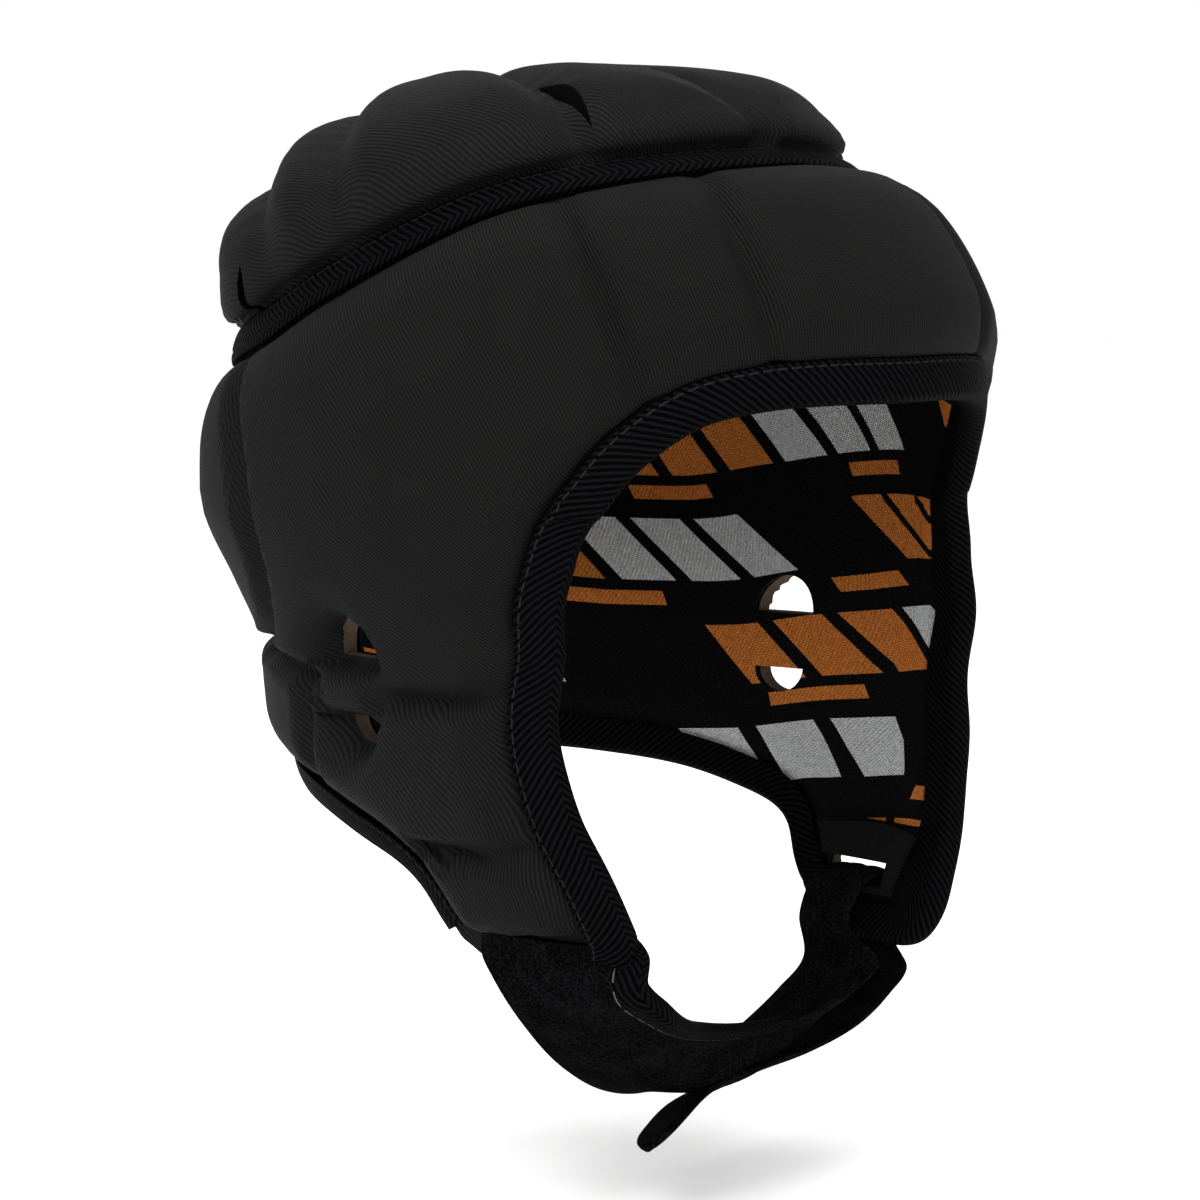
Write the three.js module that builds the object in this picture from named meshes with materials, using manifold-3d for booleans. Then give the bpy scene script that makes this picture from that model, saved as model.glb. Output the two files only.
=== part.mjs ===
// Soft padded headgear for ball sports: a crown and a band of foam pads under rib fabric,
// taped seams and edges, a cloth lining and a chin strap that folds back through a slot.
// Millimetres, +Z up, the face looks along -Y, the wearer's left is +X.
// The origin is the top of the head hollow, on the inside of the crown.
import * as THREE from 'three';
import Module from 'manifold-3d';

// Thicknesses, measured outwards from the head
const LINING = 1.2;
const LINING_INSIDE = -0.5;
const LEG_GAP = 0.75;
const LEG_LIFT = 0.75;
const FOLD_GAP = 0.8;
const PATCH_GAP = 2.4;
const PANEL_INSIDE = 1.5;
const FLANGE = 3;
const BAND_PAD = 11.5;
const CROWN_PAD = 18.5;
const TAPE = 1.5;
const STRAP = 2.2;

// Widths of the sewn margins beside the pads
const SEAM_MARGIN = 5.4;
const FACE_MARGIN = 8.6;
const FACE_PAD_START = 10.6;
const REAR_MARGIN = 8.4;
const TAPE_MARGIN = 1.4;
const PAD_ROUNDING = 11;
const CROWN_ROUNDING = 22;
const BAND_TOP_ROUNDING = 20;

// Head hollow: a dome over the widest ring, and rows below it
const CROWN_HEIGHT = 88;
const DOME_FRONT_POWER = 3.6;
const DOME_BACK_POWER = 2.2;
const DOME_BLEND = 1.5;
const CROWN_LEAN = 18;
const HEAD_ROWS = [
  { z: -88, halfWidth: 78.5, centreY: -18, front: 98, back: 97, frontPower: 2.12, backPower: 2.1 },
  { z: -104, halfWidth: 76.5, centreY: -30, front: 87, back: 101, frontPower: 2.5, backPower: 2 },
  { z: -120, halfWidth: 74, centreY: -45, front: 73, back: 108, frontPower: 2.9, backPower: 2 },
  { z: -136, halfWidth: 72.5, centreY: -51, front: 66, back: 114, frontPower: 2.9, backPower: 2 },
  { z: -152, halfWidth: 70.5, centreY: -52, front: 67, back: 114, frontPower: 2.9, backPower: 2 },
  { z: -170, halfWidth: 65.5, centreY: -44, front: 75, back: 103, frontPower: 2.8, backPower: 2 },
  { z: -188, halfWidth: 59.5, centreY: -36.5, front: 79, back: 88, frontPower: 2.8, backPower: 2 },
  { z: -206, halfWidth: 53.5, centreY: -35, front: 77, back: 80, frontPower: 2.8, backPower: 2 },
];

// Lines on the head form: angle in degrees from the face (0) to the nape (180), and height
const CROWN_SEAM = [
  { angle: 0, z: -9.5 }, { angle: 20, z: -10.5 }, { angle: 38, z: -12.5 }, { angle: 52, z: -15 },
  { angle: 66, z: -19 }, { angle: 80, z: -26 }, { angle: 93, z: -34.5 }, { angle: 112, z: -46 },
  { angle: 135, z: -53 }, { angle: 180, z: -58 },
];
const FACE_EDGE = [
  { angle: 0, z: -60 }, { angle: 14, z: -60 }, { angle: 26, z: -61.2 }, { angle: 36.5, z: -65 },
  { angle: 46, z: -74.5 }, { angle: 52.5, z: -86 }, { angle: 60, z: -99.5 }, { angle: 67.5, z: -112.5 },
  { angle: 73.5, z: -127 }, { angle: 75.5, z: -138 }, { angle: 75, z: -148 }, { angle: 72.5, z: -157.5 },
  { angle: 67, z: -169 }, { angle: 62.5, z: -180 },
];
const REAR_EDGE = [
  { angle: 92, z: -186 }, { angle: 96, z: -177 }, { angle: 101, z: -171.5 }, { angle: 109, z: -167.5 },
  { angle: 120, z: -163.5 }, { angle: 133, z: -161 }, { angle: 150, z: -159 }, { angle: 180, z: -158 },
];
const RIGHT_TIP = [
  { angle: 60.5, z: -187 }, { angle: 62.5, z: -192 }, { angle: 75, z: -193.5 }, { angle: 86.5, z: -194 },
  { angle: 90, z: -191 },
];
const LEFT_TIP = [
  { angle: 60, z: -190 }, { angle: 61.5, z: -197 }, { angle: 66, z: -200.5 }, { angle: 75, z: -201 },
  { angle: 83, z: -200.5 }, { angle: 87.5, z: -197.5 }, { angle: 89.5, z: -192 },
];
const EAR_GROOVE = [
  { angle: 73.5, z: -127 }, { angle: 90, z: -130 }, { angle: 102, z: -130 }, { angle: 121, z: -126.5 },
  { angle: 135, z: -123.5 }, { angle: 180, z: -121 },
];
// Lower ends of the pads on the flaps
const RIGHT_JAW_LINE = [
  { angle: 60, z: -180 }, { angle: 68, z: -181.5 }, { angle: 84, z: -184 }, { angle: 96, z: -183.5 },
];
const LEFT_JAW_LINE = [
  { angle: 60, z: -174 }, { angle: 68, z: -175.5 }, { angle: 84, z: -178 }, { angle: 96, z: -178 },
];
const JAW_TOP = -150;

// Sewn channels of the band: how deep (share of the pad) and how far to each side they reach
const BAND_CHANNELS = [
  { depth: 0.34, reach: 9, line: [{ angle: 25, z: -8 }, { angle: 25.4, z: -30 }, { angle: 22.5, z: -62 }] },
  { depth: 0.34, reach: 9, line: [{ angle: 54, z: -12 }, { angle: 48.5, z: -37 }, { angle: 42.5, z: -66 }] },
  { depth: 0.55, reach: 8, line: [{ angle: 119, z: -48 }, { angle: 111.4, z: -78 }, { angle: 111, z: -95 },
    { angle: 120, z: -112 }, { angle: 133, z: -124 }] },
  { depth: 0.6, reach: 7, line: EAR_GROOVE.slice(0, 3) },
  { depth: 0.6, reach: 7, line: EAR_GROOVE.slice(3) },
  { depth: 0.5, reach: 7, line: [{ angle: 115, z: -130 }, { angle: 117, z: -145 }, { angle: 117, z: -165 }] },
  { depth: 0.4, reach: 7, line: [{ angle: 94, z: -165 }, { angle: 87, z: -164.5 }, { angle: 74, z: -162 }] },
];

// Mesh columns of the band between the seam and the lower edge
const FRONT_COLUMNS = [
  { seam: 0, edge: 0, cells: 0 }, { seam: 25, edge: 22.5, cells: 4 },
  { seam: 54, edge: 42.5, cells: 5 }, { seam: 76, edge: 73.5, cells: 6 },
];
const REAR_COLUMNS = [
  { seam: 76, groove: 73.5 }, { seam: 79, groove: 80.6 }, { seam: 82, groove: 83 }, { seam: 87, groove: 88 },
  { seam: 93, groove: 95 }, { seam: 99, groove: 103 }, { seam: 105, groove: 111 }, { seam: 111, groove: 120 },
  { seam: 116, groove: 128 }, { seam: 120, groove: 133 }, { seam: 125, groove: 139 },
  { seam: 135, groove: 148 }, { seam: 146, groove: 156 }, { seam: 157, groove: 164 },
  { seam: 168.5, groove: 172 }, { seam: 180, groove: 180 },
];
const TIP_CELLS = 5;
const SEAM_ROWS = [0, 5.1, 7, 10.5, 16];
const FACE_ROWS = [0, 8.6, 11, 13.5, 18.5];
const REAR_ROWS = [0, 8, 10.2, 13.6];
const GROOVE_ROWS = [0, 2.6, 5.2, 8.5, 14];
const CROWN_RIM_ROWS = [11.5, 7.2, 5.1, 0.5];
const UPPER_MIDDLE_ROWS = 3;
const LOWER_MIDDLE_ROWS = 3;
const CORNER_COLUMN = FRONT_COLUMNS.reduce((sum, row) => sum + row.cells, 0);
const GROOVE_ROW = SEAM_ROWS.length + UPPER_MIDDLE_ROWS + FACE_ROWS.length - 1;

// Ear openings: a D above a padded bar and a smaller round-bottomed one below it
const EAR_Y = -16;
const EAR_UPPER = { width: 19, bottom: -123.5, top: -113.5 };
const EAR_LOWER = { width: 15, bottom: -144.5, top: -138 };
const EAR_DIP = 8;
const EAR_RIM = 0.55;
const EAR_CUT = 260;

// Crown: channels over the top, y = middle - slope * |x| - bow * x^2, and a short one on the front tongue
const CROWN_CHANNELS = [
  { middle: 31, slope: 2.07, bow: 0, depth: 0.45, reach: 12 },
  { middle: 36, slope: 0, bow: 0.0098, depth: 0.36, reach: 12 },
  { middle: 57, slope: 0, bow: 0.0095, depth: 0.3, reach: 11 },
  { middle: 70, slope: 0, bow: 0.0066, depth: 0.4, reach: 11 },
];
const TONGUE_CHANNEL = { depth: 0.25, reach: 8, end: -34 };
const CROWN_CELLS = 16;
const LINING_CROWN_CELLS = 8;
const LINING_CROWN_RIM = 12;
const LINING_STRIDE = 3;
const FRONT_VENT = { length: 40, width: 4.5, x: 33, y: -37.5, z: 5, turn: 25.5 };
const BACK_VENT = { length: 16, width: 4, x: 75, y: 33, z: -38, turn: 12 };
const VENT_CUT = 60;

// Slot in the left flap, for the chin strap, and the patch sewn inside the flap round it
const SLOT = { front: 73.5, rear: 87, z: -186.5, height: 6.4, side: 1.2, depth: 40 };
const PATCH = { front: 68.5, topRear: 90.5, lowRear: 84.8, top: -177, bottom: -192.5, cells: 6 };

// Chin strap: rows from the right flap under the chin to the slot and back to the loose end.
// Front and rear edge of the face that looks at the head.
const STRAP_ON_RIGHT_FLAP = [
  { front: 68.5, rear: 86.5, z: -187, offset: 6 },
  { front: 65, rear: 87, z: -193, offset: 6 },
];
const STRAP_UNDER_CHIN = [
  { front: [-54.5, -86, -197.5], rear: [-61, -45, -201] },
  { front: [-48, -87.5, -203.5], rear: [-53.5, -45.5, -211] },
  { front: [-38, -84, -208.5], rear: [-42, -45.5, -222.5] },
  { front: [-24, -77, -212.5], rear: [-27, -45, -231.5] },
  { front: [-8, -73, -215.5], rear: [-9, -43.5, -235] },
  { front: [8, -72, -216.5], rear: [8, -44, -231] },
  { front: [23, -73, -215.5], rear: [23, -45.5, -223] },
  { front: [36, -73, -211.5], rear: [36.5, -46, -215.5] },
  { front: [45, -72, -206.5], rear: [46, -46, -208.5] },
];
const STRAP_THROUGH_SLOT = [
  { front: 75, rear: 86.5, z: -201, offset: -7.2 },
  { front: 75, rear: 86.5, z: -192.5, offset: -7 },
  { front: 75, rear: 86.5, z: -187.6, offset: -4.4 },
  { front: 75, rear: 86.5, z: -185.4, offset: 1.2 },
  { front: 75, rear: 86.5, z: -185.4, offset: 5.4 },
  { front: 75, rear: 86.5, z: -187, offset: 9.2 },
  { front: 75, rear: 86.5, z: -192.5, offset: 10.4 },
  { front: 75, rear: 86.5, z: -200, offset: 10.2 },
];
const STRAP_RETURN = [
  { front: [60.5, -70, -211], rear: [61.5, -45, -213] },
  { front: [53, -70.5, -217], rear: [53.5, -45, -220] },
  { front: [41, -71, -223], rear: [41, -45, -227] },
  { front: [25, -70, -227.5], rear: [25, -45, -233] },
  { front: [8, -68.5, -229.5], rear: [8, -46, -239] },
  { front: [-7, -66.5, -232.5], rear: [-7, -48, -242] },
  { front: [-18, -66.5, -238.5], rear: [-17, -51, -245] },
  { front: [-27, -67, -244], rear: [-25, -54, -248] },
];
const STRAP_STEPS = 50;
const STRAP_TAPE = { firstStep: 4, lastStep: 14, width: 6 };

// Cloth and foam colours
const COLOURS = {
  crown: 0x1b1b1c, band: 0x1c1c1d, lining: 0x141416, tape: 0x0d0d10, strap: 0x101012, patch: 0x121214,
};

const RIGHT = -1;
const LEFT = 1;
const wasm = await Module();
wasm.setup();

// Value on a smooth curve through four numbers, between the middle two.
function smooth(a, b, c, d, t) {
  const slope = (c - a) * t;
  const bend = (2 * a - 5 * b + 4 * c - d) * t * t;
  const twist = (3 * b - a - 3 * c + d) * t * t * t;
  return b + 0.5 * (slope + bend + twist);
}

// Reads a table at a value of one column, smoothly, for every other column.
function readTable(rows, column, value) {
  const rising = rows[rows.length - 1][column] > rows[0][column];
  const after = rows.findIndex((row) => (rising ? row[column] > value : row[column] < value));
  const last = rows.length - 1;
  const i = after < 0 ? last - 1 : Math.max(0, after - 1);
  const t = THREE.MathUtils.clamp((value - rows[i][column]) / (rows[i + 1][column] - rows[i][column]), 0, 1);
  const result = {};
  for (const name of Object.keys(rows[i])) {
    const before = rows[Math.max(0, i - 1)][name];
    const next = rows[Math.min(last, i + 2)][name];
    result[name] = smooth(before, rows[i][name], rows[i + 1][name], next, t);
  }
  return result;
}

// Points along a line of the head form, evenly spaced in its own angle and height.
function tracePoints(rows, count) {
  const curve = new THREE.SplineCurve(rows.map((row) => new THREE.Vector2(row.angle, row.z)));
  return curve.getSpacedPoints(count).map((point) => ({ angle: point.x, z: point.y }));
}

// Power of the dome's outline at an angle: full above the face, rounder above the nape.
function domePower(angle) {
  const towardsFace = 0.5 + 0.5 * Math.cos(THREE.MathUtils.degToRad(angle));
  return THREE.MathUtils.lerp(DOME_BACK_POWER, DOME_FRONT_POWER, Math.pow(towardsFace, DOME_BLEND));
}

function ringScale(angle, z) {
  const power = domePower(angle);
  const share = Math.min(1, (z + CROWN_HEIGHT) / CROWN_HEIGHT);
  return Math.pow(Math.max(0, 1 - Math.pow(share, power)), 1 / power);
}

// Ring of the dome at a share of the widest ring's size.
function domeRow(angle, scale) {
  const power = domePower(angle);
  const share = Math.pow(Math.max(0, 1 - Math.pow(scale, power)), 1 / power);
  const widest = HEAD_ROWS[0];
  return {
    ...widest,
    z: CROWN_HEIGHT * (share - 1),
    halfWidth: widest.halfWidth * scale,
    front: widest.front * scale,
    back: widest.back * scale,
    centreY: -CROWN_LEAN * (1 - share * share),
  };
}

// Point of a ring at an angle from the face, positive towards the wearer's left.
function ringPoint(row, angle) {
  const sine = Math.sin(THREE.MathUtils.degToRad(angle));
  const cosine = Math.cos(THREE.MathUtils.degToRad(angle));
  const towardsBack = 0.5 - 0.5 * cosine;
  const power = 2 / THREE.MathUtils.lerp(row.frontPower, row.backPower, towardsBack);
  const reach = cosine > 0 ? row.front : row.back;
  return new THREE.Vector3(
    Math.sign(sine) * row.halfWidth * Math.pow(Math.abs(sine), power),
    row.centreY - reach * Math.sign(cosine) * Math.pow(Math.abs(cosine), power),
    row.z,
  );
}

function headPoint(angle, z) {
  const row = z >= HEAD_ROWS[0].z ? domeRow(angle, ringScale(angle, z)) : readTable(HEAD_ROWS, 'z', z);
  return ringPoint({ ...row, z }, angle);
}

// Point on the head form with its outward normal and the two directions along the surface.
function headFrame(angle, z) {
  const step = 0.2;
  const alongAngle = headPoint(angle + step, z).sub(headPoint(angle - step, z)).divideScalar(2 * step);
  const alongZ = headPoint(angle, z + step).sub(headPoint(angle, z - step)).divideScalar(2 * step);
  const normal = alongAngle.clone().cross(alongZ).normalize();
  return { point: headPoint(angle, z), normal, alongAngle, alongZ };
}

function offHead(angle, z, offset) {
  const frame = headFrame(angle, z);
  return frame.point.addScaledVector(frame.normal, offset);
}

function seamHeight(angle) {
  return readTable(CROWN_SEAM, 'angle', Math.abs(angle)).z;
}

// The crown's seam on one half, from the face to the nape.
function seamRows(count) {
  return Array.from({ length: count + 1 }, (_, i) => {
    const angle = (180 * i) / count;
    return { angle, z: seamHeight(angle) };
  });
}

// Point of the crown's round sheet: across and along run from -1 to 1 inside a unit circle.
function crownPoint(across, along) {
  const angle = THREE.MathUtils.radToDeg(Math.atan2(across, -along));
  const share = Math.hypot(across, along);
  return ringPoint(domeRow(angle, share * ringScale(angle, seamHeight(angle))), angle);
}

function crownFrame(across, along) {
  const step = 0.004;
  const side = crownPoint(across + step, along).sub(crownPoint(across - step, along));
  const length = crownPoint(across, along + step).sub(crownPoint(across, along - step));
  return { point: crownPoint(across, along), normal: side.cross(length).normalize() };
}

// Sheet of welded nodes and triangles, seen from outside.
class Sheet {
  constructor() {
    this.nodes = [];
    this.triangles = [];
    this.byPlace = new Map();
  }

  add(frame, place) {
    const key = frame.point.toArray().map((value) => Math.round(value * 50)).join(',');
    if (!this.byPlace.has(key)) {
      this.byPlace.set(key, this.nodes.length);
      this.nodes.push({ ...frame, ...place });
    }
    return this.byPlace.get(key);
  }

  triangle(a, b, c) {
    if (a === b || b === c || c === a) return;
    const [p, q, r] = [a, b, c].map((index) => this.nodes[index]);
    const face = q.point.clone().sub(p.point).cross(r.point.clone().sub(p.point));
    const facesOut = face.dot(p.normal) + face.dot(q.normal) + face.dot(r.normal) > 0;
    this.triangles.push(facesOut ? [a, b, c] : [a, c, b]);
  }

  // Fills a grid of node indices with two triangles a cell, cut along the shorter diagonal.
  fill(grid) {
    for (let i = 0; i + 1 < grid.length; i += 1) {
      for (let j = 0; j + 1 < grid[i].length && j + 1 < grid[i + 1].length; j += 1) {
        const [a, b, c, d] = [grid[i][j], grid[i + 1][j], grid[i + 1][j + 1], grid[i][j + 1]];
        const diagonal = (m, n) => this.nodes[m].point.distanceTo(this.nodes[n].point);
        if (diagonal(a, c) < diagonal(b, d)) {
          this.triangle(a, b, c);
          this.triangle(a, c, d);
        } else {
          this.triangle(a, b, d);
          this.triangle(b, c, d);
        }
      }
    }
  }

  // Closed wall between two offsets of the sheet, with its edges walled.
  thicken(inner, outer) {
    const count = this.nodes.length;
    const moved = (node, distance) => node.point.clone().addScaledVector(node.normal, distance);
    const layer = (offset) => this.nodes.map((node) => moved(node, offset(node)));
    const points = [...layer(outer), ...layer(inner)];
    const faces = [];
    const edges = new Set(this.triangles.flatMap(([a, b, c]) => [`${a},${b}`, `${b},${c}`, `${c},${a}`]));
    for (const [a, b, c] of this.triangles) {
      faces.push([a, b, c], [a + count, c + count, b + count]);
      for (const [from, to] of [[a, b], [b, c], [c, a]]) {
        if (!edges.has(`${to},${from}`)) {
          faces.push([from, from + count, to], [to, from + count, to + count]);
        }
      }
    }
    return asSolid(points, faces);
  }
}

// Solid of points and triangles, with the triangles turned to face out.
function asSolid(points, faces) {
  const volume = faces.reduce((sum, [a, b, c]) => sum + points[a].dot(points[b].clone().cross(points[c])), 0);
  const outwards = volume > 0 ? faces : faces.map(([a, b, c]) => [a, c, b]);
  const vertProperties = new Float32Array(points.flatMap((point) => point.toArray()));
  const triVerts = new Uint32Array(outwards.flat());
  return new wasm.Manifold(new wasm.Mesh({ numProp: 3, vertProperties, triVerts }));
}

// Closed tube through rings of points; without closing it gets flat ends.
function loft(rings, closed) {
  const size = rings[0].length;
  const points = rings.flat();
  const faces = [];
  const spans = closed ? rings.length : rings.length - 1;
  for (let i = 0; i < spans; i += 1) {
    const next = (i + 1) % rings.length;
    for (let j = 0; j < size; j += 1) {
      const k = (j + 1) % size;
      const [a, b, c, d] = [i * size + j, i * size + k, next * size + k, next * size + j];
      faces.push([a, c, b], [a, d, c]);
    }
  }
  if (!closed) {
    const outline = rings[0].map((point, j) => new THREE.Vector2(rings[0].shape[j].x, rings[0].shape[j].y));
    const start = (rings.length - 1) * size;
    for (const [a, b, c] of THREE.ShapeUtils.triangulateShape(outline, [])) {
      faces.push([a, b, c], [start + a, start + c, start + b]);
    }
  }
  return asSolid(points, faces);
}

function asMesh(name, solid, colour, roughness) {
  const { vertProperties, triVerts } = solid.getMesh();
  const geometry = new THREE.BufferGeometry();
  geometry.setAttribute('position', new THREE.BufferAttribute(new Float32Array(vertProperties), 3));
  geometry.setIndex(new THREE.BufferAttribute(new Uint32Array(triVerts), 1));
  geometry.computeVertexNormals();
  const material = new THREE.MeshStandardMaterial({ color: colour, roughness, metalness: 0 });
  const mesh = new THREE.Mesh(geometry, material);
  mesh.name = name;
  return mesh;
}

// Solid of a three.js geometry whose corners are shared.
function solidOf(geometry) {
  const places = new Map();
  const points = [];
  const position = geometry.getAttribute('position');
  const counted = Array.from({ length: position.count }, (_, i) => i);
  const order = geometry.index ? Array.from(geometry.index.array) : counted;
  const corners = order.map((index) => {
    const point = new THREE.Vector3().fromBufferAttribute(position, index);
    const key = point.toArray().map((value) => value.toFixed(4)).join(',');
    if (!places.has(key)) {
      places.set(key, points.length);
      points.push(point);
    }
    return places.get(key);
  });
  const faces = [];
  for (let i = 0; i < corners.length; i += 3) faces.push(corners.slice(i, i + 3));
  return asSolid(points, faces.filter(([a, b, c]) => a !== b && b !== c && c !== a));
}

// Lower outline of one half of the band, from the brow round the flap's tip to the nape.
function lowerOutline(tip) {
  const rows = [...FACE_EDGE, ...tip, ...REAR_EDGE];
  return new THREE.SplineCurve(rows.map((row) => new THREE.Vector2(row.angle, row.z)));
}

// Where on an outline curve one of its table rows lies.
function outlineShare(tip, index) {
  return index / (FACE_EDGE.length + tip.length + REAR_EDGE.length - 1);
}

// Rows of the outline where the ear groove meets the face edge and where the flap's tip starts and ends
const FACE_CORNER = 8;
const TIP_START = FACE_EDGE.length + 1;
function tipEnd(tip) {
  return FACE_EDGE.length + tip.length - 1;
}

// Places between two values that crowd towards both ends.
function crowded(from, to, cells) {
  const crowding = 0.1;
  return Array.from({ length: cells }, (_, i) => {
    const t = (i + 1) / cells;
    return THREE.MathUtils.lerp(from, to, t - crowding * Math.sin(2 * Math.PI * t));
  });
}

// Shares of a column at which its rows lie: those given for both ends, and even ones between.
function rowShares(start, end, middleRows) {
  const from = start[start.length - 1];
  const to = end[end.length - 1];
  const middle = Array.from({ length: middleRows }, (_, i) => (
    THREE.MathUtils.lerp(from, to, (i + 1) / (middleRows + 1))));
  return [...start, ...middle, ...[...end].reverse()];
}

function onHead({ angle, z }) {
  return headPoint(angle, z);
}

// Share at which a path that starts on a line has come a given distance away from it.
function shareOff(line, distance, pathPoint) {
  const step = 0.01;
  let share = 0;
  let reached = 0;
  while (share < 0.9) {
    const next = distanceTo(pathPoint(share + step), line);
    if (next >= distance) return share + (step * (distance - reached)) / (next - reached);
    share += step;
    reached = next;
  }
  return share;
}

function between(from, to, share) {
  return {
    angle: THREE.MathUtils.lerp(from.angle, to.angle, share),
    z: THREE.MathUtils.lerp(from.z, to.z, share),
  };
}

function expand(table, column) {
  const values = [table[0][column]];
  for (let i = 1; i < table.length; i += 1) {
    values.push(...crowded(table[i - 1][column], table[i][column], table[i].cells));
  }
  return values;
}

// Foot of a mesh column on the flap's tip or the nape edge.
function bottomPlace(tip, column) {
  const start = outlineShare(tip, TIP_START);
  const end = outlineShare(tip, tipEnd(tip));
  const share = column <= TIP_CELLS
    ? THREE.MathUtils.lerp(start, end, column / TIP_CELLS)
    : THREE.MathUtils.lerp(end, 1, (column - TIP_CELLS) / (REAR_COLUMNS.length - 1 - TIP_CELLS));
  const point = lowerOutline(tip).getPoint(share);
  return { angle: point.x, z: point.y };
}

// Angle and height of every mesh node of one half of the band, by column and row.
function bandColumns(tip) {
  const outline = lowerOutline(tip);
  const onOutline = (share) => {
    const point = outline.getPoint(share);
    return { angle: point.x, z: point.y };
  };
  const cornerShare = outlineShare(tip, FACE_CORNER);
  const tipShare = outlineShare(tip, TIP_START);
  const seamLine = seamRows(180).map(onHead);
  const faceLine = lineOnHead(FACE_EDGE, LEFT, 120);
  const lastRow = FACE_EDGE.length + tip.length + REAR_EDGE.length - 1;
  const rearLine = outlineStretch(tip, TIP_START, lastRow, 120).map(onHead);
  const seamAt = (angle) => ({ angle, z: seamHeight(angle) });
  const faceAt = (angle) => readTable(FACE_EDGE, 'angle', angle);
  const startShares = (distances, line, from, to) => distances.map((distance) => (
    shareOff(line, distance, (share) => onHead(between(from, to, share)))));
  const endShares = (distances, line, from, to) => (
    startShares(distances, line, to, from).map((share) => 1 - share));
  const grooveShares = (distances, length) => distances.map((distance) => distance / length);
  const columns = [];
  const frontSeam = expand(FRONT_COLUMNS, 'seam');
  const frontEdge = expand(FRONT_COLUMNS, 'edge');
  frontSeam.slice(0, -1).forEach((angle, i) => {
    const top = seamAt(angle);
    const low = faceAt(frontEdge[i]);
    const seamShares = startShares(SEAM_ROWS, seamLine, top, low);
    const faceShares = endShares(FACE_ROWS, faceLine, top, low);
    const shares = rowShares(seamShares, faceShares, UPPER_MIDDLE_ROWS);
    columns.push(shares.map((share) => between(top, low, share)));
  });
  const cornerTop = faceAt(FACE_EDGE[FACE_CORNER].angle);
  const cornerLow = onOutline(tipShare);
  REAR_COLUMNS.forEach(({ seam, groove }, i) => {
    const top = seamAt(seam);
    const middle = { angle: groove, z: readTable(EAR_GROOVE, 'angle', groove).z };
    const low = bottomPlace(tip, i);
    const upperLength = onHead(middle).distanceTo(onHead(top));
    const lowerLength = onHead(low).distanceTo(onHead(middle));
    const grooveEnd = grooveShares(GROOVE_ROWS, upperLength).map((share) => 1 - share);
    const upperEnd = i === 0 ? endShares(FACE_ROWS, faceLine, top, middle) : grooveEnd;
    const upper = rowShares(startShares(SEAM_ROWS, seamLine, top, middle), upperEnd, UPPER_MIDDLE_ROWS);
    const lowerEnd = endShares(REAR_ROWS, rearLine, middle, low);
    const lower = rowShares(grooveShares(GROOVE_ROWS.slice(0, -1), lowerLength), lowerEnd, LOWER_MIDDLE_ROWS);
    const nearFace = Math.max(0, 1 - i / TIP_CELLS);
    const rows = upper.map((share) => between(top, middle, share));
    lower.slice(1).forEach((share) => {
      const straight = between(middle, low, share);
      const face = onOutline(THREE.MathUtils.lerp(cornerShare, tipShare, share));
      const faceStraight = between(cornerTop, cornerLow, share);
      rows.push({
        angle: straight.angle + nearFace * (face.angle - faceStraight.angle),
        z: straight.z + nearFace * (face.z - faceStraight.z),
      });
    });
    columns.push(rows);
  });
  return columns;
}

// Shortest distance from a point to a line of points.
function distanceTo(point, line) {
  const nearest = new THREE.Vector3();
  let best = Infinity;
  for (let i = 0; i + 1 < line.length; i += 1) {
    new THREE.Line3(line[i], line[i + 1]).closestPointToPoint(point, true, nearest);
    best = Math.min(best, nearest.distanceTo(point));
  }
  return best;
}

function lineOnHead(rows, side, count) {
  return tracePoints(rows, count).map((row) => headPoint(side * row.angle, row.z));
}

// Round shoulder of a pad: 0 at its edge, 1 at the rounding's width inside it.
function shoulder(inside, rounding = PAD_ROUNDING) {
  const share = THREE.MathUtils.clamp(inside / rounding, 0, 1);
  return Math.sqrt(1 - (1 - share) * (1 - share));
}

// Share of the pad that a channel leaves at a distance from its line.
function channelled(distance, channel) {
  const share = Math.min(1, distance / channel.reach);
  return 1 - channel.depth * (1 - share * share) * (1 - share * share);
}

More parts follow.
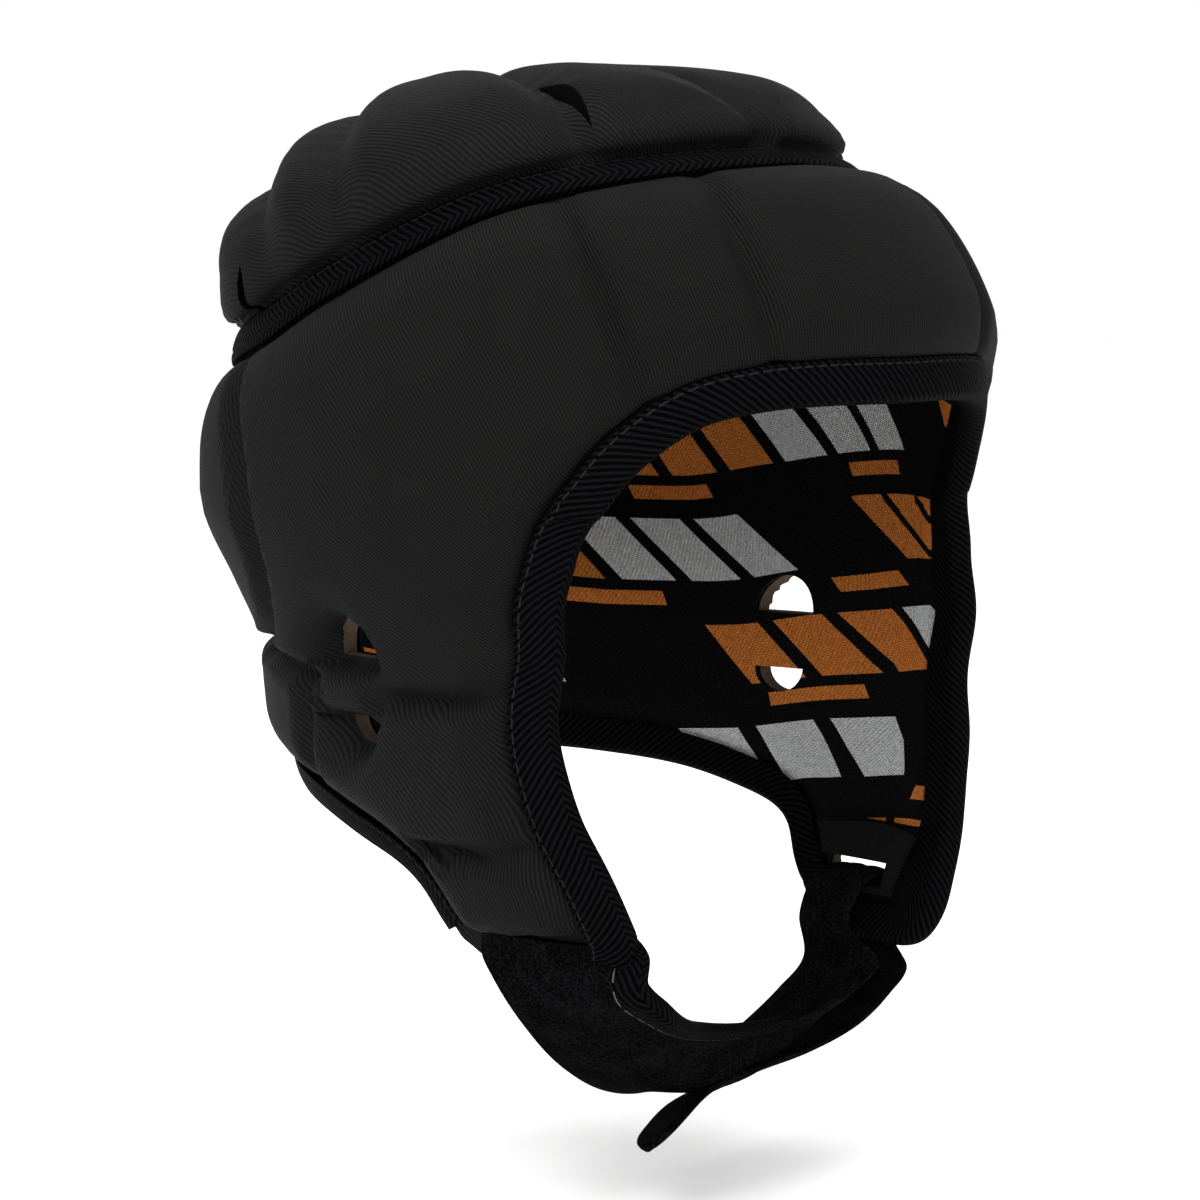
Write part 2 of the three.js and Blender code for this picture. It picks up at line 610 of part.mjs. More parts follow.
// How far the padding of one half of the band stands out, from the flange to the full pad.
function bandProfile(side) {
  const tip = side === RIGHT ? RIGHT_TIP : LEFT_TIP;
  const jawLine = side === RIGHT ? RIGHT_JAW_LINE : LEFT_JAW_LINE;
  const seam = seamRows(90).map((row) => headPoint(side * row.angle, row.z));
  const face = lineOnHead([...FACE_EDGE, tip[0]], side, 60);
  const rear = lineOnHead(REAR_EDGE, side, 40);
  const channels = BAND_CHANNELS.map((channel) => (
    { ...channel, points: lineOnHead(channel.line, side, 16) }));
  const ears = [EAR_UPPER, EAR_LOWER].map((hole) => ({
    ...hole, y: EAR_Y, z: (hole.top + hole.bottom) / 2, half: (hole.top - hole.bottom) / 2,
  }));
  return (node) => {
    const { point } = node;
    const aside = Math.abs(node.angle);
    const [jawFront, jawRear] = [jawLine[0].angle, jawLine[jawLine.length - 1].angle];
    const jaw = point.z - readTable(jawLine, 'angle', THREE.MathUtils.clamp(aside, jawFront, jawRear)).z;
    const inJaw = aside < jawRear && point.z < JAW_TOP ? jaw : Infinity;
    const fromFace = distanceTo(point, face);
    const inside = Math.min(
      fromFace < FACE_PAD_START ? 0 : fromFace - FACE_MARGIN,
      distanceTo(point, rear) - REAR_MARGIN,
      inJaw,
    );
    let pad = Math.min(shoulder(inside), shoulder(distanceTo(point, seam) - SEAM_MARGIN, BAND_TOP_ROUNDING));
    for (const channel of channels) pad *= channelled(distanceTo(point, channel.points), channel);
    for (const ear of ears) {
      const across = Math.max(0, Math.abs(point.y - ear.y) - ear.width / 2);
      const up = Math.max(0, Math.abs(point.z - ear.z) - ear.half);
      const share = THREE.MathUtils.clamp(Math.hypot(across, up) / EAR_DIP, 0, 1);
      pad *= EAR_RIM + (1 - EAR_RIM) * Math.sqrt(share * (2 - share));
    }
    return PANEL_INSIDE + FLANGE + (BAND_PAD - FLANGE) * pad;
  };
}

// The two halves of the band as one sheet; a stride of 2 leaves out every other row and column.
function bandSheet(stride) {
  const sheet = new Sheet();
  for (const side of [RIGHT, LEFT]) {
    const profile = bandProfile(side);
    const thinned = (list, fixed) => (
      list.filter((_, i) => i % stride === 0 || i === fixed || i === list.length - 1));
    const columns = bandColumns(side === RIGHT ? RIGHT_TIP : LEFT_TIP);
    const grid = thinned(columns, CORNER_COLUMN).map((rows) => thinned(rows, GROOVE_ROW).map((row) => {
      const angle = side * row.angle;
      return sheet.add(headFrame(angle, row.z), { angle, height: row.z, profile });
    }));
    sheet.fill(grid);
  }
  return sheet;
}

// The crown's whole seam as a closed line of points.
function seamLoop(count) {
  const half = seamRows(count);
  return [...mirrored(half).reverse(), ...half.slice(1)].map(onHead);
}

// Square grid laid into the crown's round sheet, so that its rows run from side to side, with rings
// of nodes round it at given distances from the seam.
function crownSheet(cells, rimRows) {
  const sheet = new Sheet();
  const seam = seamLoop(90);
  const rimPlace = (across, along, distance) => {
    const size = Math.hypot(across, along);
    const [sideways, lengthways] = [across / size, along / size];
    const inwards = (share) => crownPoint((1 - share) * sideways, (1 - share) * lengthways);
    const share = 1 - shareOff(seam, distance, inwards);
    return [share * sideways, share * lengthways, share];
  };
  const roundRows = Array.from({ length: cells + 1 }, (_, i) => (2 * i) / cells - 1);
  const grid = roundRows.map((u) => roundRows.map((v) => {
    const across = u * Math.sqrt(1 - (v * v) / 2);
    const along = v * Math.sqrt(1 - (u * u) / 2);
    const reach = u === 0 && v === 0 ? 1 : rimPlace(across, along, rimRows[0])[2];
    const onRim = Math.max(Math.abs(u), Math.abs(v)) === 1;
    return sheet.add(crownFrame(reach * across, reach * along), { onRim, across, along });
  }));
  sheet.fill(grid);
  const ends = (row) => grid.map((nodes) => nodes[row]);
  const sides = [ends(0), grid[cells], ends(cells).reverse(), [...grid[0]].reverse()];
  const border = sides.flatMap((side) => side.slice(0, -1));
  const rings = rimRows.slice(1).map((distance) => border.map((index) => {
    const node = sheet.nodes[index];
    const [across, along] = rimPlace(node.across, node.along, distance);
    return sheet.add(crownFrame(across, along), {});
  }));
  sheet.fill([border, ...rings].map((ring) => [...ring, ring[0]]));
  return sheet;
}

function crownProfile() {
  const seam = seamLoop(90);
  return ({ point }) => {
    let pad = shoulder(distanceTo(point, seam) - SEAM_MARGIN, CROWN_ROUNDING);
    for (const channel of CROWN_CHANNELS) {
      const aside = Math.abs(point.x);
      const slope = channel.slope + 2 * channel.bow * aside;
      const ahead = point.y - (channel.middle - channel.slope * aside - channel.bow * aside * aside);
      pad *= channelled(Math.abs(ahead) / Math.hypot(1, slope), channel);
    }
    const pastTongue = Math.max(0, point.y - TONGUE_CHANNEL.end);
    pad *= channelled(Math.hypot(point.x, pastTongue), TONGUE_CHANNEL);
    return PANEL_INSIDE + FLANGE + (CROWN_PAD - FLANGE) * pad;
  };
}

// Opening of an ear hole, cut straight through both sides of the band along X.
function earCutter(hole, flatBottom) {
  const half = hole.width / 2;
  const height = hole.top - hole.bottom;
  const shape = new THREE.Shape();
  if (flatBottom) {
    shape.moveTo(-half, 0);
    shape.absellipse(0, 0, half, height, Math.PI, 0, true);
  } else {
    shape.moveTo(half, height);
    shape.absellipse(0, height, half, height, 0, Math.PI, true);
  }
  shape.closePath();
  const cut = { depth: EAR_CUT, bevelEnabled: false, curveSegments: 8 };
  const geometry = new THREE.ExtrudeGeometry(shape, cut);
  geometry.rotateY(Math.PI / 2).rotateX(Math.PI / 2);
  geometry.translate(-EAR_CUT / 2, EAR_Y, hole.bottom);
  return solidOf(geometry);
}

// Leaf-shaped cutter, pointed at both ends, lying along Y and standing along Z.
function leafCutter(length, width, depth) {
  const shape = new THREE.Shape();
  shape.moveTo(0, -length / 2);
  shape.quadraticCurveTo(width, 0, 0, length / 2);
  shape.quadraticCurveTo(-width, 0, 0, -length / 2);
  const geometry = new THREE.ExtrudeGeometry(shape, { depth, bevelEnabled: false, curveSegments: 5 });
  return geometry.translate(0, 0, -depth / 2);
}

function ventCutters() {
  const cutters = [];
  for (const side of [RIGHT, LEFT]) {
    const front = leafCutter(FRONT_VENT.length, FRONT_VENT.width, VENT_CUT);
    front.rotateZ(side * THREE.MathUtils.degToRad(FRONT_VENT.turn));
    front.translate(side * FRONT_VENT.x, FRONT_VENT.y, FRONT_VENT.z);
    const back = leafCutter(BACK_VENT.length, BACK_VENT.width, VENT_CUT);
    back.rotateY(Math.PI / 2).rotateX(Math.PI / 2 + THREE.MathUtils.degToRad(BACK_VENT.turn));
    back.translate(side * BACK_VENT.x, BACK_VENT.y, BACK_VENT.z);
    cutters.push(solidOf(front), solidOf(back));
  }
  return cutters;
}

function slotCutter() {
  const front = headPoint(SLOT.front, SLOT.z);
  const rear = headPoint(SLOT.rear, SLOT.z);
  const width = Math.abs(rear.y - front.y) + 2 * SLOT.side;
  const geometry = new THREE.BoxGeometry(SLOT.depth, width, SLOT.height);
  geometry.translate((front.x + rear.x) / 2, (front.y + rear.y) / 2, SLOT.z);
  return solidOf(geometry);
}

// Solid less its cutters, without the small scraps that the cutting leaves.
function cutAll(solid, cutters) {
  const rest = cutters.reduce((left, cutter) => left.subtract(cutter), solid);
  return rest.decompose().reduce((largest, body) => (body.volume() > largest.volume() ? body : largest));
}

// Place a given distance off a line on the head form, along the surface; positive is into the cloth.
function beside(rows, index, distance, inwards) {
  const row = rows[index];
  const frame = headFrame(row.angle, row.z);
  const before = rows[Math.max(0, index - 1)];
  const after = rows[Math.min(rows.length - 1, index + 1)];
  const along = headPoint(after.angle, after.z).sub(headPoint(before.angle, before.z)).normalize();
  const across = frame.normal.clone().cross(along).multiplyScalar(inwards * distance);
  const aa = frame.alongAngle.dot(frame.alongAngle);
  const az = frame.alongAngle.dot(frame.alongZ);
  const zz = frame.alongZ.dot(frame.alongZ);
  const ba = across.dot(frame.alongAngle);
  const bz = across.dot(frame.alongZ);
  const area = aa * zz - az * az;
  return { angle: row.angle + (ba * zz - bz * az) / area, z: row.z + (bz * aa - ba * az) / area };
}

// Tape along a line: every ring repeats a flat section, x into the cloth and y out from the head.
function tapeAlong(rows, section, inwards, closed) {
  const rings = rows.map((_, index) => {
    const ring = section.map(({ x, y }) => {
      const place = beside(rows, index, x, inwards);
      return offHead(place.angle, place.z, y);
    });
    ring.shape = section;
    return ring;
  });
  return loft(rings, closed);
}

// Section of an edge tape: folded over the band's margin, level with the lining inside.
function foldedSection(width) {
  const inside = PANEL_INSIDE - LEG_GAP;
  const outside = PANEL_INSIDE + FLANGE + LEG_GAP;
  return [
    { x: width, y: outside + LEG_LIFT + TAPE }, { x: -FOLD_GAP - TAPE, y: outside + 0.6 * TAPE },
    { x: -FOLD_GAP - TAPE, y: inside - 0.6 * TAPE }, { x: width, y: inside - TAPE },
    { x: width, y: inside }, { x: -FOLD_GAP, y: inside },
    { x: -FOLD_GAP, y: outside }, { x: width, y: outside + LEG_LIFT },
  ];
}

function mirrored(rows) {
  return rows.map((row) => ({ angle: -row.angle, z: row.z }));
}

function crownBinding() {
  const half = seamRows(25);
  const loop = [...mirrored(half).reverse(), ...half.slice(1, -1)];
  const base = PANEL_INSIDE + FLANGE + LEG_GAP;
  const width = SEAM_MARGIN - TAPE_MARGIN;
  const section = [
    { x: width, y: base }, { x: width, y: base + 0.6 * TAPE }, { x: 0, y: base + 1.5 * TAPE },
    { x: -width, y: base + 0.6 * TAPE }, { x: -width, y: base }, { x: 0, y: base },
  ];
  const rings = loop.map((row, index) => {
    const before = loop[(index + loop.length - 1) % loop.length];
    const after = loop[(index + 1) % loop.length];
    const ring = section.map(({ x, y }) => {
      const place = beside([before, row, after], 1, x, 1);
      return offHead(place.angle, place.z, y);
    });
    ring.shape = section;
    return ring;
  });
  return loft(rings, true);
}

// Stretch of one half's lower outline between two table rows, in even steps.
function outlineStretch(tip, fromIndex, toIndex, steps) {
  const outline = lowerOutline(tip);
  const from = outlineShare(tip, fromIndex);
  const to = outlineShare(tip, toIndex);
  return Array.from({ length: steps + 1 }, (_, i) => {
    const point = outline.getPoint(THREE.MathUtils.lerp(from, to, i / steps));
    return { angle: point.x, z: point.y };
  });
}

// Section of the room that an edge tape takes from the lining.
function trimSection(width) {
  const far = 8;
  const inner = width + FOLD_GAP;
  return [{ x: inner, y: far }, { x: -far, y: far }, { x: -far, y: -far }, { x: inner, y: -far }];
}

// Edge nodes of one half of the band in order: brow, flap's face edge, flap's tip, nape edge.
function edgePlaces(tip) {
  const columns = bandColumns(tip);
  const feet = columns.map((rows) => rows[rows.length - 1]);
  return {
    face: [...feet.slice(0, CORNER_COLUMN), ...columns[CORNER_COLUMN].slice(GROOVE_ROW)],
    tip: feet.slice(CORNER_COLUMN + 1, CORNER_COLUMN + TIP_CELLS),
    rear: feet.slice(CORNER_COLUMN + TIP_CELLS),
  };
}

function faceRows() {
  const right = edgePlaces(RIGHT_TIP);
  const left = edgePlaces(LEFT_TIP);
  const aboveTip = 2;
  return [...mirrored(right.face.slice(1, -aboveTip)).reverse(), ...left.face, ...left.tip];
}

function rearRows() {
  const right = mirrored(edgePlaces(RIGHT_TIP).rear.slice(1)).reverse();
  return [...edgePlaces(LEFT_TIP).rear, ...right.slice(1)];
}

// The rear tape's line with one more place at each end, for the room that the lining leaves it.
function rearTrimRows() {
  const sides = [edgePlaces(LEFT_TIP), edgePlaces(RIGHT_TIP)];
  const [before, after] = sides.map(({ tip }) => tip[tip.length - 1]);
  return [before, ...rearRows(), ...mirrored([after])];
}

const FACE_TAPE_WIDTH = FACE_MARGIN - TAPE_MARGIN;
const REAR_TAPE_WIDTH = REAR_MARGIN - 1.5 * TAPE_MARGIN;

// Crown and band lining as one cloth: a strip of triangles joins the two sheets below the seam.
function liningSheet() {
  const sheet = bandSheet(LINING_STRIDE);
  const isTop = (node) => Math.abs(node.height - seamHeight(node.angle)) < 0.01;
  const byTurn = (index) => {
    const { x, y } = sheet.nodes[index].point;
    return { i: index, turn: Math.atan2(x, -y) };
  };
  const inTurn = (a, b) => a.turn - b.turn;
  const lower = sheet.nodes.flatMap((node, i) => (isTop(node) ? [byTurn(i)] : [])).sort(inTurn);
  const crown = crownSheet(LINING_CROWN_CELLS, [LINING_CROWN_RIM]);
  const index = crown.nodes.map((node) => sheet.add(node, {}));
  crown.triangles.forEach((corners) => sheet.triangle(...corners.map((corner) => index[corner])));
  const upper = crown.nodes.flatMap((node, i) => (node.onRim ? [byTurn(index[i])] : [])).sort(inTurn);
  let [u, l] = [0, 0];
  while (u < upper.length || l < lower.length) {
    const [a, b] = [upper[u % upper.length], lower[l % lower.length]];
    const nextUpper = upper[(u + 1) % upper.length];
    const nextLower = lower[(l + 1) % lower.length];
    const upperTurn = nextUpper.turn + (u + 1 >= upper.length ? 2 * Math.PI : 0);
    const lowerTurn = nextLower.turn + (l + 1 >= lower.length ? 2 * Math.PI : 0);
    if (l >= lower.length || (u < upper.length && upperTurn < lowerTurn)) {
      sheet.triangle(a.i, b.i, nextUpper.i);
      u += 1;
    } else {
      sheet.triangle(a.i, b.i, nextLower.i);
      l += 1;
    }
  }
  return sheet;
}

// Patch sewn inside the left flap round the slot.
function slotPatch() {
  const sheet = new Sheet();
  const grid = [];
  for (let i = 0; i <= PATCH.cells; i += 1) {
    grid.push([]);
    for (let j = 0; j <= PATCH.cells; j += 1) {
      const z = THREE.MathUtils.lerp(PATCH.top, PATCH.bottom, j / PATCH.cells);
      const rear = THREE.MathUtils.lerp(PATCH.topRear, PATCH.lowRear, j / PATCH.cells);
      const angle = THREE.MathUtils.lerp(PATCH.front, rear, i / PATCH.cells);
      grid[i].push(sheet.add(headFrame(angle, z), {}));
    }
  }
  sheet.fill(grid);
  return sheet.thicken(() => LINING_INSIDE - PATCH_GAP - LINING, () => LINING_INSIDE - PATCH_GAP);
}

// Edges of the strap's inner face, row by row, from the right flap to the loose end.
function strapRows() {
  const onFlap = (side) => (row) => ({
    front: offHead(side * row.front, row.z, row.offset),
    rear: offHead(side * row.rear, row.z, row.offset),
  });
  const free = (row) => ({ front: new THREE.Vector3(...row.front), rear: new THREE.Vector3(...row.rear) });
  return [
    ...STRAP_ON_RIGHT_FLAP.map(onFlap(RIGHT)), ...STRAP_UNDER_CHIN.map(free),
    ...STRAP_THROUGH_SLOT.map(onFlap(LEFT)), ...STRAP_RETURN.map(free),
  ];
}

// Stations along the strap: both edges and the direction of its outer face.
function strapStations() {
  const rows = strapRows();
  const through = (place) => new THREE.CatmullRomCurve3(rows.map(place), false, 'centripetal');
  const front = through((row) => row.front);
  const rear = through((row) => row.rear);
  const middle = through((row) => row.front.clone().lerp(row.rear, 0.5));
  return Array.from({ length: STRAP_STEPS + 1 }, (_, i) => {
    const t = i / STRAP_STEPS;
    const edge = rear.getPoint(t).sub(front.getPoint(t)).normalize();
    const outwards = edge.clone().cross(middle.getTangent(t)).normalize();
    return { front: front.getPoint(t), rear: rear.getPoint(t), edge, outwards };
  });
}

function chinStrap(stations) {
  const shape = [[0, 0], [1, 0], [1, 1], [0, 1]].map(([x, y]) => new THREE.Vector2(x, y));
  const rings = stations.map(({ front, rear, outwards }) => {
    const thick = outwards.clone().multiplyScalar(STRAP);
    const ring = [front, rear, rear.clone().add(thick), front.clone().add(thick)];
    ring.shape = shape;
    return ring;
  });
  return loft(rings, false);
}

// Tape folded over the strap's front edge, from the right flap to the chin.
function strapBinding(stations) {
  const gap = FOLD_GAP;
  const outer = STRAP + gap + TAPE;
  const section = [
    [STRAP_TAPE.width, outer], [-gap - TAPE, outer - 0.5 * TAPE], [-gap - TAPE, -gap - 0.5 * TAPE],
    [STRAP_TAPE.width, -gap - TAPE], [STRAP_TAPE.width, -gap], [-gap, -gap], [-gap, STRAP + gap],
    [STRAP_TAPE.width, STRAP + gap],
  ].map(([x, y]) => new THREE.Vector2(x, y));
  const taped = stations.slice(STRAP_TAPE.firstStep, STRAP_TAPE.lastStep);
  const rings = taped.map(({ front, edge, outwards }) => {
    const place = ({ x, y }) => front.clone().addScaledVector(edge, x).addScaledVector(outwards, y);
    const ring = section.map(place);
    ring.shape = section;
    return ring;
  });
  return loft(rings, false);
}

const earCutters = [earCutter(EAR_UPPER, true), earCutter(EAR_LOWER, false)];
const slot = slotCutter();
const bandPad = bandSheet(1).thicken(() => PANEL_INSIDE, (node) => node.profile(node));
const band = cutAll(bandPad, [...earCutters, slot]);
const crownPad = crownSheet(CROWN_CELLS, CROWN_RIM_ROWS).thicken(() => PANEL_INSIDE, crownProfile());
const crown = cutAll(crownPad, ventCutters());
const trims = [
  tapeAlong(faceRows(), trimSection(FACE_TAPE_WIDTH), 1, false),
  tapeAlong(rearTrimRows(), trimSection(REAR_TAPE_WIDTH), 1, false),
];
const cloth = liningSheet().thicken(() => LINING_INSIDE, () => LINING_INSIDE + LINING);
const lining = cutAll(cloth, [...earCutters, slot, ...trims]);
const faceBinding = tapeAlong(faceRows(), foldedSection(FACE_TAPE_WIDTH), 1, false);
const rearBinding = tapeAlong(rearRows(), foldedSection(REAR_TAPE_WIDTH), 1, false);
const strap = strapStations();

const headgear = new THREE.Group();
headgear.add(
  asMesh('crown_panel', crown, COLOURS.crown, 0.8),
  asMesh('band_panel', band, COLOURS.band, 0.8),
  asMesh('lining', lining, COLOURS.lining, 0.9),
  asMesh('crown_binding', crownBinding(), COLOURS.tape, 0.85),
  asMesh('face_binding', faceBinding, COLOURS.tape, 0.85),
  asMesh('rear_binding', rearBinding, COLOURS.tape, 0.85),
  asMesh('slot_patch', slotPatch().subtract(slot), COLOURS.patch, 0.9),
  asMesh('chin_strap', chinStrap(strap), COLOURS.strap, 0.95),
  asMesh('strap_binding', strapBinding(strap), COLOURS.tape, 0.85),
);

export default headgear;
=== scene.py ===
# Soft padded headgear, dressed piece by piece in the order in which it is sewn together.
# Lengths are millimetres on the head form until a mesh is made, and meshes are in metres.
import math

import bpy
import numpy as np
from mathutils import Matrix, Vector


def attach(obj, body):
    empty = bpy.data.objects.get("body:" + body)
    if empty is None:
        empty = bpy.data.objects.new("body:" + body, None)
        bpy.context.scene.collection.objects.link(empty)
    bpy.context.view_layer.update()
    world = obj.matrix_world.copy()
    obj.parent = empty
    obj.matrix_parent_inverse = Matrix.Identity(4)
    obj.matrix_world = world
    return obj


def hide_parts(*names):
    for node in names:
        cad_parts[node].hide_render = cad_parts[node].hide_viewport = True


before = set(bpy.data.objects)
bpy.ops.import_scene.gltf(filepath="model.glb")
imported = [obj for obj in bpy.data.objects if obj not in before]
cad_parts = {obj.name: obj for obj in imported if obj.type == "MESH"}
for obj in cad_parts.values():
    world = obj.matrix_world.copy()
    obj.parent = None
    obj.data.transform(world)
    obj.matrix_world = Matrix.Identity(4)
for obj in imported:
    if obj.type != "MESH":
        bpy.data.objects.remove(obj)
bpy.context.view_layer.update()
bpy.ops.object.select_all(action="DESELECT")


# Lining
# One printed knit cloth on the inside of crown and band, about 1 mm thick. It is stretched over the
# pads' backs, cut away at the ears, and its lower edge is caught under the edge tapes.
CROWN_HEIGHT = 88.0
DOME_FRONT_POWER = 3.6
DOME_BACK_POWER = 2.2
DOME_BLEND = 1.5
CROWN_LEAN = 18.0
# depth below the top, half width, centre y, reach to the front, reach to the back, both powers
HEAD_ROWS = np.array([
    (88, 78.5, -18, 98, 97, 2.12, 2.1),
    (104, 76.5, -30, 87, 101, 2.5, 2),
    (120, 74, -45, 73, 108, 2.9, 2),
    (136, 72.5, -51, 66, 114, 2.9, 2),
    (152, 70.5, -52, 67, 114, 2.9, 2),
    (170, 65.5, -44, 75, 103, 2.8, 2),
    (188, 59.5, -36.5, 79, 88, 2.8, 2),
    (206, 53.5, -35, 77, 80, 2.8, 2),
])
# lines on the head form: angle from the face (0) to the nape (180), and height
CROWN_SEAM = np.array([
    (0, -9.5), (20, -10.5), (38, -12.5), (52, -15), (66, -19), (80, -26), (93, -34.5), (112, -46),
    (135, -53), (180, -58),
])
FACE_EDGE = [
    (0, -60), (14, -60), (26, -61.2), (36.5, -65), (46, -74.5), (52.5, -86), (60, -99.5),
    (67.5, -112.5), (73.5, -127), (75.5, -138), (75, -148), (72.5, -157.5), (67, -169), (62.5, -180),
]
REAR_EDGE = [
    (92, -186), (96, -177), (101, -171.5), (109, -167.5), (120, -163.5), (133, -161), (150, -159),
    (180, -158),
]
# the feet of the right flap (-1) and the left flap (1)
FLAP_TIP = {
    -1: [(60.5, -187), (62.5, -192), (75, -193.5), (86.5, -194), (90, -191)],
    1: [(60, -190), (61.5, -197), (66, -200.5), (75, -201), (83, -200.5), (87.5, -197.5), (89.5, -192)],
}
EAR_GROOVE = np.array([
    (73.5, -127), (90, -130), (102, -130), (121, -126.5), (135, -123.5), (180, -121),
])
# mesh columns in front: angle at the seam, angle at the face edge, cells up to there
FRONT_COLUMNS = [(0, 0, 0), (25, 22.5, 18), (54, 42.5, 22), (76, 73.5, 26)]
# mesh columns behind: angle at the seam, angle at the ear groove
REAR_COLUMNS = [
    (76, 73.5), (79, 80.6), (82, 83), (87, 88), (93, 95), (99, 103), (105, 111), (111, 120), (116, 128),
    (120, 133), (125, 139), (135, 148), (146, 156), (157, 164), (168.5, 172), (180, 180),
]
CELLS_PER_COLUMN = 4
COLUMN_CROWDING = 0.1
FACE_CORNER = 8
FACE_EDGE_FRONT = 10
TIP_COLUMNS = 5
CORNER_COLUMNS = 3
# mesh rows: distances from the crown seam, the face edge, the ear groove and the lower edge
SEAM_ROWS = [0, 1.3, 2.6, 3.9, 4.8, 5.4, 5.8, 6.4, 7.3, 8.6, 10.3, 12.6, 16]
FACE_ROWS = [0, 2.2, 4.4, 6.6, 8.2, 8.7, 9.2, 10, 11.2, 13, 15.4, 18.5]
GROOVE_ROWS = [0, 0.7, 1.4, 2.2, 3.1, 4.1, 5.2, 6.5, 8, 10, 12, 14]
REAR_ROWS = [0, 2.2, 4.4, 6.6, 7.9, 8.4, 9, 10, 11.4, 13.6]
UPPER_MIDDLE_ROWS = 18
LOWER_MIDDLE_ROWS = 12
GROOVE_ROW = len(SEAM_ROWS) + UPPER_MIDDLE_ROWS + len(FACE_ROWS) - 1
LINE_STEPS = 110
SEAM_STEPS = 121
SEARCH_STEPS = 181
SEARCH_SHARE = 0.9
WELD_PER_MM = 50
LINING_INSIDE = -0.5
LINING_THICK = 1.2
EDGE_TUCK = 9.0
TUCK_FADE = 1.5
TUCK_IN = 1.45
TUCK_OUT = 0.65
POLAR_STEPS = 29
PRINT_SHIFT = (200, 100)
# how a cloth runs on the band: millimetres for each degree, slant on the temples, start
RIB_PER_DEGREE = 1.42
RIB_SLANT = 0.5
RIB_START = 400
# keeps the columns at the middle of face and nape on their own side's map
SIDE_NUDGE = 1e-6


# a smooth curve through the rows of a table, at a row number that may lie between two rows
def along_rows(table, place):
    table = np.asarray(table, float)
    last = len(table) - 1
    place = np.clip(np.asarray(place, float), 0, last)
    i = np.minimum(place.astype(int), last - 1)
    t = (place - i)[..., None]
    a, b, c, d = (table[np.clip(i + k, 0, last)] for k in (-1, 0, 1, 2))
    return b + 0.5 * ((c - a) * t + (2 * a - 5 * b + 4 * c - d) * t**2 + (3 * b - a - 3 * c + d) * t**3)


# the same curve, looked up by the value in the table's first column
def read_rows(table, value):
    table = np.asarray(table, float)
    return along_rows(table, np.interp(value, table[:, 0], np.arange(len(table))))


# one level ring round the head, rounder or squarer by its powers
def ring_point(angle, half_width, centre_y, front, back, front_power, back_power, z):
    sine, cosine = np.sin(np.radians(angle)), np.cos(np.radians(angle))
    power = 2 / (front_power + (back_power - front_power) * (0.5 - 0.5 * cosine))
    reach = np.where(cosine > 0, front, back)
    x = np.sign(sine) * half_width * np.abs(sine) ** power
    y = centre_y - reach * np.sign(cosine) * np.abs(cosine) ** power
    return np.stack(np.broadcast_arrays(x, y, z), -1)


def dome_power(angle):
    towards_face = 0.5 + 0.5 * np.cos(np.radians(angle))
    return DOME_BACK_POWER + (DOME_FRONT_POWER - DOME_BACK_POWER) * towards_face**DOME_BLEND


def ring_scale(angle, z):
    power = dome_power(angle)
    share = np.clip(1 + z / CROWN_HEIGHT, 0, 1)
    return (1 - share**power) ** (1 / power)


def dome_point(angle, scale):
    power = dome_power(angle)
    share = (1 - np.clip(scale, 0, 1) ** power) ** (1 / power)
    _, half_width, _, front, back, front_power, back_power = HEAD_ROWS[0]
    lean = -CROWN_LEAN * (1 - share**2)
    height = CROWN_HEIGHT * (share - 1)
    reach = (half_width * scale, lean, front * scale, back * scale)
    return ring_point(angle, *reach, front_power, back_power, height)


# the head form: a dome down to the widest ring, and rings from the table below it
def head_point(angle, z):
    angle, z = np.broadcast_arrays(np.asarray(angle, float), np.asarray(z, float))
    columns = np.moveaxis(read_rows(HEAD_ROWS, -z), -1, 0)
    dome = dome_point(angle, ring_scale(angle, z))
    return np.where((z > -CROWN_HEIGHT)[..., None], dome, ring_point(angle, *columns[1:], z))


def unit(vectors):
    return vectors / np.maximum(np.linalg.norm(vectors, axis=-1, keepdims=True), 1e-9)


def head_directions(angle, z):
    step = 0.2
    around = (head_point(angle + step, z) - head_point(angle - step, z)) / (2 * step)
    up = (head_point(angle, z + step) - head_point(angle, z - step)) / (2 * step)
    return around, up


def head_normal(angle, z):
    around, up = head_directions(np.asarray(angle, float), np.asarray(z, float))
    return unit(np.cross(around, up))


def seam_height(angle):
    return read_rows(CROWN_SEAM, np.abs(angle))[..., 1]


# the top inside the crown seam as a disc: 0 in the middle, 1 on the seam
def crown_point(across, along):
    angle = np.degrees(np.arctan2(across, -along))
    return dome_point(angle, np.hypot(across, along) * ring_scale(angle, seam_height(angle)))


def crown_normal(across, along):
    step = 0.004
    sideways = crown_point(across + step, along) - crown_point(across - step, along)
    lengthways = crown_point(across, along + step) - crown_point(across, along - step)
    return unit(np.cross(sideways, lengthways))


def distance_to(points, line):
    flat = np.asarray(points).reshape(-1, 3)
    start, leg = line[:-1], line[1:] - line[:-1]
    best = np.full(len(flat), np.inf)
    for a, d in zip(start, leg):
        t = np.clip((flat - a) @ d / (d @ d), 0, 1)
        best = np.minimum(best, np.linalg.norm(flat - a - t[:, None] * d, axis=1))
    return best.reshape(np.shape(points)[:-1])


def outline_rows(side):
    return np.array(FACE_EDGE + FLAP_TIP[side] + REAR_EDGE, float)


def outline_place(side, row):
    return along_rows(outline_rows(side), row)


def seam_line(side):
    angle = np.linspace(0, 180, SEAM_STEPS)
    return head_point(side * angle, seam_height(angle))


def face_line(side):
    place = outline_place(side, np.linspace(0, len(FACE_EDGE), LINE_STEPS))
    return head_point(side * place[:, 0], place[:, 1])


def tip_line(side):
    last = len(outline_rows(side)) - 1
    place = outline_place(side, np.linspace(len(FACE_EDGE) + 1, last, LINE_STEPS))
    return head_point(side * place[:, 0], place[:, 1])


